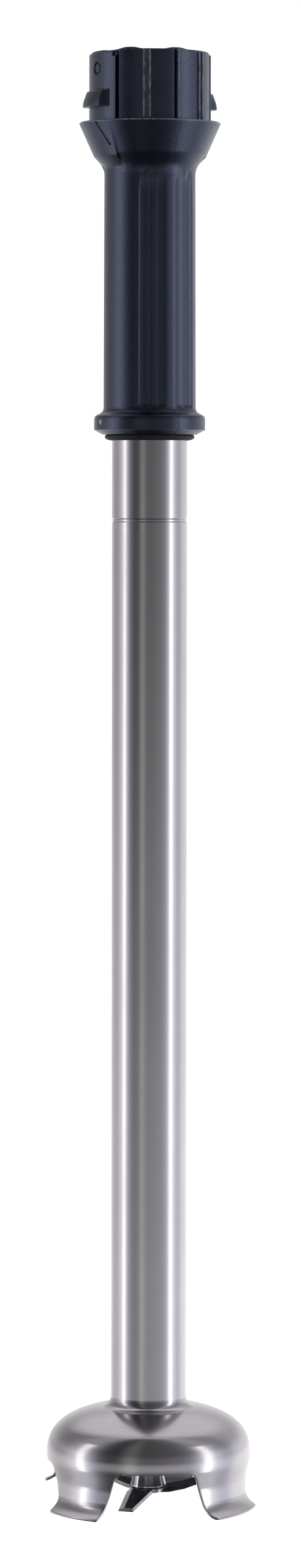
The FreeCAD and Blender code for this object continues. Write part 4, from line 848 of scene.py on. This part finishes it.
SEAL_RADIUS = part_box("grip_seal_ring")[1].x / MM
SEAL_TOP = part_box("grip_seal_ring")[1].z / MM
SEAL_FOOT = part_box("grip_seal_ring")[0].z / MM
SEAL_BORE = TUBE_RADIUS / MM + 0.02


def seal_ring():
    """Soft round lip between the grip and the tube."""
    outline = rounded_path([
        (SEAL_BORE, SEAL_TOP, 0), (SEAL_RADIUS - 0.5, SEAL_TOP, 0),
        (SEAL_RADIUS - 0.45, SEAL_TOP - 0.35, 0.2), (SEAL_RADIUS, SEAL_TOP - 0.55, 0.3),
        (SEAL_RADIUS, SEAL_FOOT + 1.1, 1.2), (SEAL_RADIUS - 1.6, SEAL_FOOT + 0.3, 1.6),
        (SEAL_BORE + 0.3, SEAL_FOOT, 0), (SEAL_BORE, SEAL_FOOT + 0.05, 0),
    ])
    stand_for(turned_ring("seal_ring_lip", outline, rubber), "grip_seal_ring", "arm")


# ---------------------------------------------------------------- joint between the tubes

JOINT_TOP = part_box("upper_tube")[0].z / MM
JOINT_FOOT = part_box("main_tube")[1].z / MM
SLEEVE_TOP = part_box("tube_joint_sleeve")[1].z / MM
SLEEVE_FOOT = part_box("tube_joint_sleeve")[0].z / MM
SLEEVE_RADIUS, SLEEVE_BORE, JOINT_RADIUS, JOINT_EASE = 17.4, 15.9, 18.78, 0.25


def tube_joint():
    """Sleeve inside both tubes, with the rounded band that shows as a shallow line between them."""
    band = rounded_path([
        (SLEEVE_RADIUS, JOINT_TOP, 0), (JOINT_RADIUS - JOINT_EASE, JOINT_TOP - 0.01, 0),
        (JOINT_RADIUS, JOINT_TOP - 0.35, JOINT_EASE), (JOINT_RADIUS, JOINT_FOOT + 0.35, JOINT_EASE),
        (JOINT_RADIUS - JOINT_EASE, JOINT_FOOT + 0.01, 0), (SLEEVE_RADIUS, JOINT_FOOT, 0),
    ])
    section = np.vstack([[(SLEEVE_BORE, SLEEVE_TOP), (SLEEVE_RADIUS, SLEEVE_TOP)], band,
                         [(SLEEVE_RADIUS, SLEEVE_FOOT), (SLEEVE_BORE, SLEEVE_FOOT)]])
    stand_for(turned_ring("tube_joint_band", section, steel), "tube_joint_sleeve", "arm")


# ---------------------------------------------------------------- bell guard

SHEET, RIM = 1.5, 0.5         # thickness of the sheet, and how far its rounded free edge reaches past it
NECK_TOP, NECK_PROUD, WELD_FILLET = -646.2, 0.012, 5.5
DOME_RADIUS, DOME_RISE, DOME_HEIGHT, DOME_POWER = 51.7, 25.0, -676.5, 2.5
SKIRT_RADIUS, SKIRT_HEIGHT, FLARE_HEIGHT, FLARE_POWER = 49.6, -690.5, -694.6, 2.2
LIP_RADIUS, LIP_HEIGHT = 55.0, -701.95
WINDOW_TOP, WINDOW_CORNER = -679.6 + RIM, 3.2 + RIM
FEET = (                      # edges at the window top, edges at the lip, height missing, toe corners
    (-138.0, -99.5, -134.5, -105.0, 9.0, 0.8, 0.8),
    (-70.5, -18.2, -65.0, -28.0, 0, 0.8, 0.8),
    (26.8, 89.2, 36.6, 83.0, 0, 2.4, 0.8),
    (147.2, 198.0, 153.4, 194.5, 0, 0.8, 0.8),
)
BELL_START = -150.0           # an angle inside a window
BELL_STEP = 1.25
DOME_POINTS, FILLET_POINTS, WINDOW_POINTS, FOOT_ROWS = 50, 14, 9, 26
EDGE_POINTS, EDGE_POWER = 9, 0.7


def bell_radius(height):
    """Outer radius of the bell below its widest ring."""
    turned_in = (DOME_RADIUS - SKIRT_RADIUS) * ease(-height, -DOME_HEIGHT, -SKIRT_HEIGHT)
    flare = np.clip((height - FLARE_HEIGHT) / (LIP_HEIGHT - FLARE_HEIGHT), 0, 1) ** FLARE_POWER
    return DOME_RADIUS - turned_in + (LIP_RADIUS - SKIRT_RADIUS) * flare


def bell_section():
    """(radius, height) down the outside of the bell from the tube to the top of the windows."""
    wall = TUBE_RADIUS / MM + NECK_PROUD
    join = wall + WELD_FILLET
    share = np.linspace(math.acos((join / DOME_RADIUS) ** (DOME_POWER / 2)), 0, DOME_POINTS)
    crown = np.stack([DOME_RADIUS * np.cos(share) ** (2 / DOME_POWER),
                      DOME_HEIGHT + DOME_RISE * np.sin(share) ** (2 / DOME_POWER)], axis=1)
    bend = np.radians(np.linspace(0, 90, FILLET_POINTS))[:-1]
    fillet = np.stack([join - WELD_FILLET * np.cos(bend),
                       crown[0, 1] + WELD_FILLET * (1 - np.sin(bend))], axis=1)
    neck = [(wall, height) for height in np.linspace(NECK_TOP, fillet[0, 1], 4)[:-1]]
    waist = [(bell_radius(height), height) for height in np.linspace(DOME_HEIGHT, WINDOW_TOP, 5)[1:]]
    return np.vstack([neck, fillet, crown, waist])


def corner_reach(distance, radius):
    """How far a rounded corner of this radius reaches, at a distance from where its arc starts."""
    return radius - np.sqrt(np.maximum(radius ** 2 - np.maximum(radius - distance, 0) ** 2, 0))


def bell_foot(foot, columns):
    """Grid of one foot from the window top to the lip, with rounded corners at the window and at the toe."""
    left, right, lip_left, lip_right, missing, toe_left, toe_right = foot
    drop = WINDOW_TOP - LIP_HEIGHT
    toe = max(toe_left, toe_right)
    bend = np.radians(np.linspace(0, 90, WINDOW_POINTS))
    down = np.concatenate([WINDOW_CORNER * (1 - np.cos(bend))[1:],
                           np.linspace(WINDOW_CORNER, drop - toe, FOOT_ROWS)[1:],
                           drop - toe * (1 - np.cos(bend[::-1]))[1:]])
    flank = RIM - corner_reach(down, WINDOW_CORNER)
    share = down / drop
    per_mm = math.degrees(1 / SKIRT_RADIUS)
    start = left + (lip_left - left) * share + (flank + corner_reach(drop - down, toe_left)) * per_mm
    stop = right + (lip_right - right) * share - (flank + corner_reach(drop - down, toe_right)) * per_mm
    across = np.linspace(0, 1, columns)
    angle = start[:, None] * (1 - across) + stop[:, None] * across
    radius = bell_radius(WINDOW_TOP - down)[:, None]
    return place_points(radius, angle, (WINDOW_TOP - down * (1 - missing / drop))[:, None])


def thicken(piece, sheet, reach, plain_above):
    """Thickens an open bell inwards, marks its inside satin and rounds its free edges.

    Free edges below plain_above also grow by reach.
    """
    work = bmesh.new()
    work.from_mesh(piece.data)
    satin = work.verts.layers.float.new("satin")
    if sum(face.normal.xy.dot(face.calc_center_median().xy) for face in work.faces) < 0:
        bmesh.ops.reverse_faces(work, faces=list(work.faces))
    work.normal_update()
    skin = list(work.faces)
    free = [edge for edge in work.edges if edge.is_boundary]
    inner = {vert: work.verts.new(vert.co - vert.normal * sheet) for vert in list(work.verts)}
    for vert in inner.values():
        vert[satin] = 1.0
    bend = np.radians(np.linspace(0, 180, EDGE_POINTS))[1:-1]
    profile = list(zip(np.sign(np.cos(bend)) * abs(np.cos(bend)) ** EDGE_POWER, np.sin(bend) ** EDGE_POWER))
    rims = {}
    for vert in dict.fromkeys(vert for edge in free for vert in edge.verts):
        ahead, behind = [edge.other_vert(vert).co for edge in vert.link_edges if edge.is_boundary]
        out = (ahead - behind).cross(vert.normal).normalized()
        inside = sum((face.calc_center_median() for face in vert.link_faces), Vector()) / len(vert.link_faces)
        if out.dot(inside - vert.co) > 0:
            out.negate()
        grow = 0 if vert.co.z > plain_above else reach
        ring = [work.verts.new(vert.co + out * (grow * side) - vert.normal * (sheet / 2 * (1 - level)))
                for level, side in profile]
        rims[vert] = [vert, *ring, inner[vert]]
    for face in skin:
        work.faces.new([inner[vert] for vert in reversed(face.verts)])
    for edge in free:
        first, second = (rims[vert] for vert in edge.verts)
        for corners in zip(first, second, second[1:], first[1:]):
            work.faces.new(corners)
    finish_skin(work, piece.data)


def bell_guard():
    """Pressed bell: one sheet from the neck down over the dome and into four feet."""
    gather = math.degrees((WINDOW_CORNER - RIM) / SKIRT_RADIUS)
    breaks = [BELL_START]
    for left, right, *_ in FEET:
        breaks += [left - gather, right + gather]
    breaks.append(BELL_START + 360)
    counts = [math.ceil((stop - start) / BELL_STEP) for start, stop in zip(breaks, breaks[1:])]
    angle = np.concatenate([np.linspace(start, stop, count, endpoint=False)
                            for start, stop, count in zip(breaks, breaks[1:], counts)])
    column = np.concatenate([[0], np.cumsum(counts)])
    section = bell_section()
    crown = place_points(section[:, :1], angle, section[:, 1:])
    numbers = number_grid(crown)
    faces = quads(np.hstack([numbers, numbers[:, :1]]))
    points, total = [crown.reshape(-1, 3)], numbers.size
    for foot, first, last in zip(FEET, column[1::2], column[2::2]):
        above = numbers[-1, first:last + 1]
        grid = bell_foot(foot, len(above))
        below = number_grid(grid, total)
        faces += quads(np.vstack([above, below]))
        points.append(grid.reshape(-1, 3))
        total += below.size
    bell = make_piece("bell_pressing", np.vstack(points), faces, steel)
    thicken(bell, SHEET * MM, RIM * MM, plain_above=(WINDOW_TOP + NECK_TOP) / 2 * MM)
    stand_for(bell, "bell_guard", "arm")


coupling_head()
grip_shell("grip_shell_front", SEAM - 180)
grip_shell("grip_shell_rear", SEAM)
seal_ring()
tube_joint()
bell_guard()
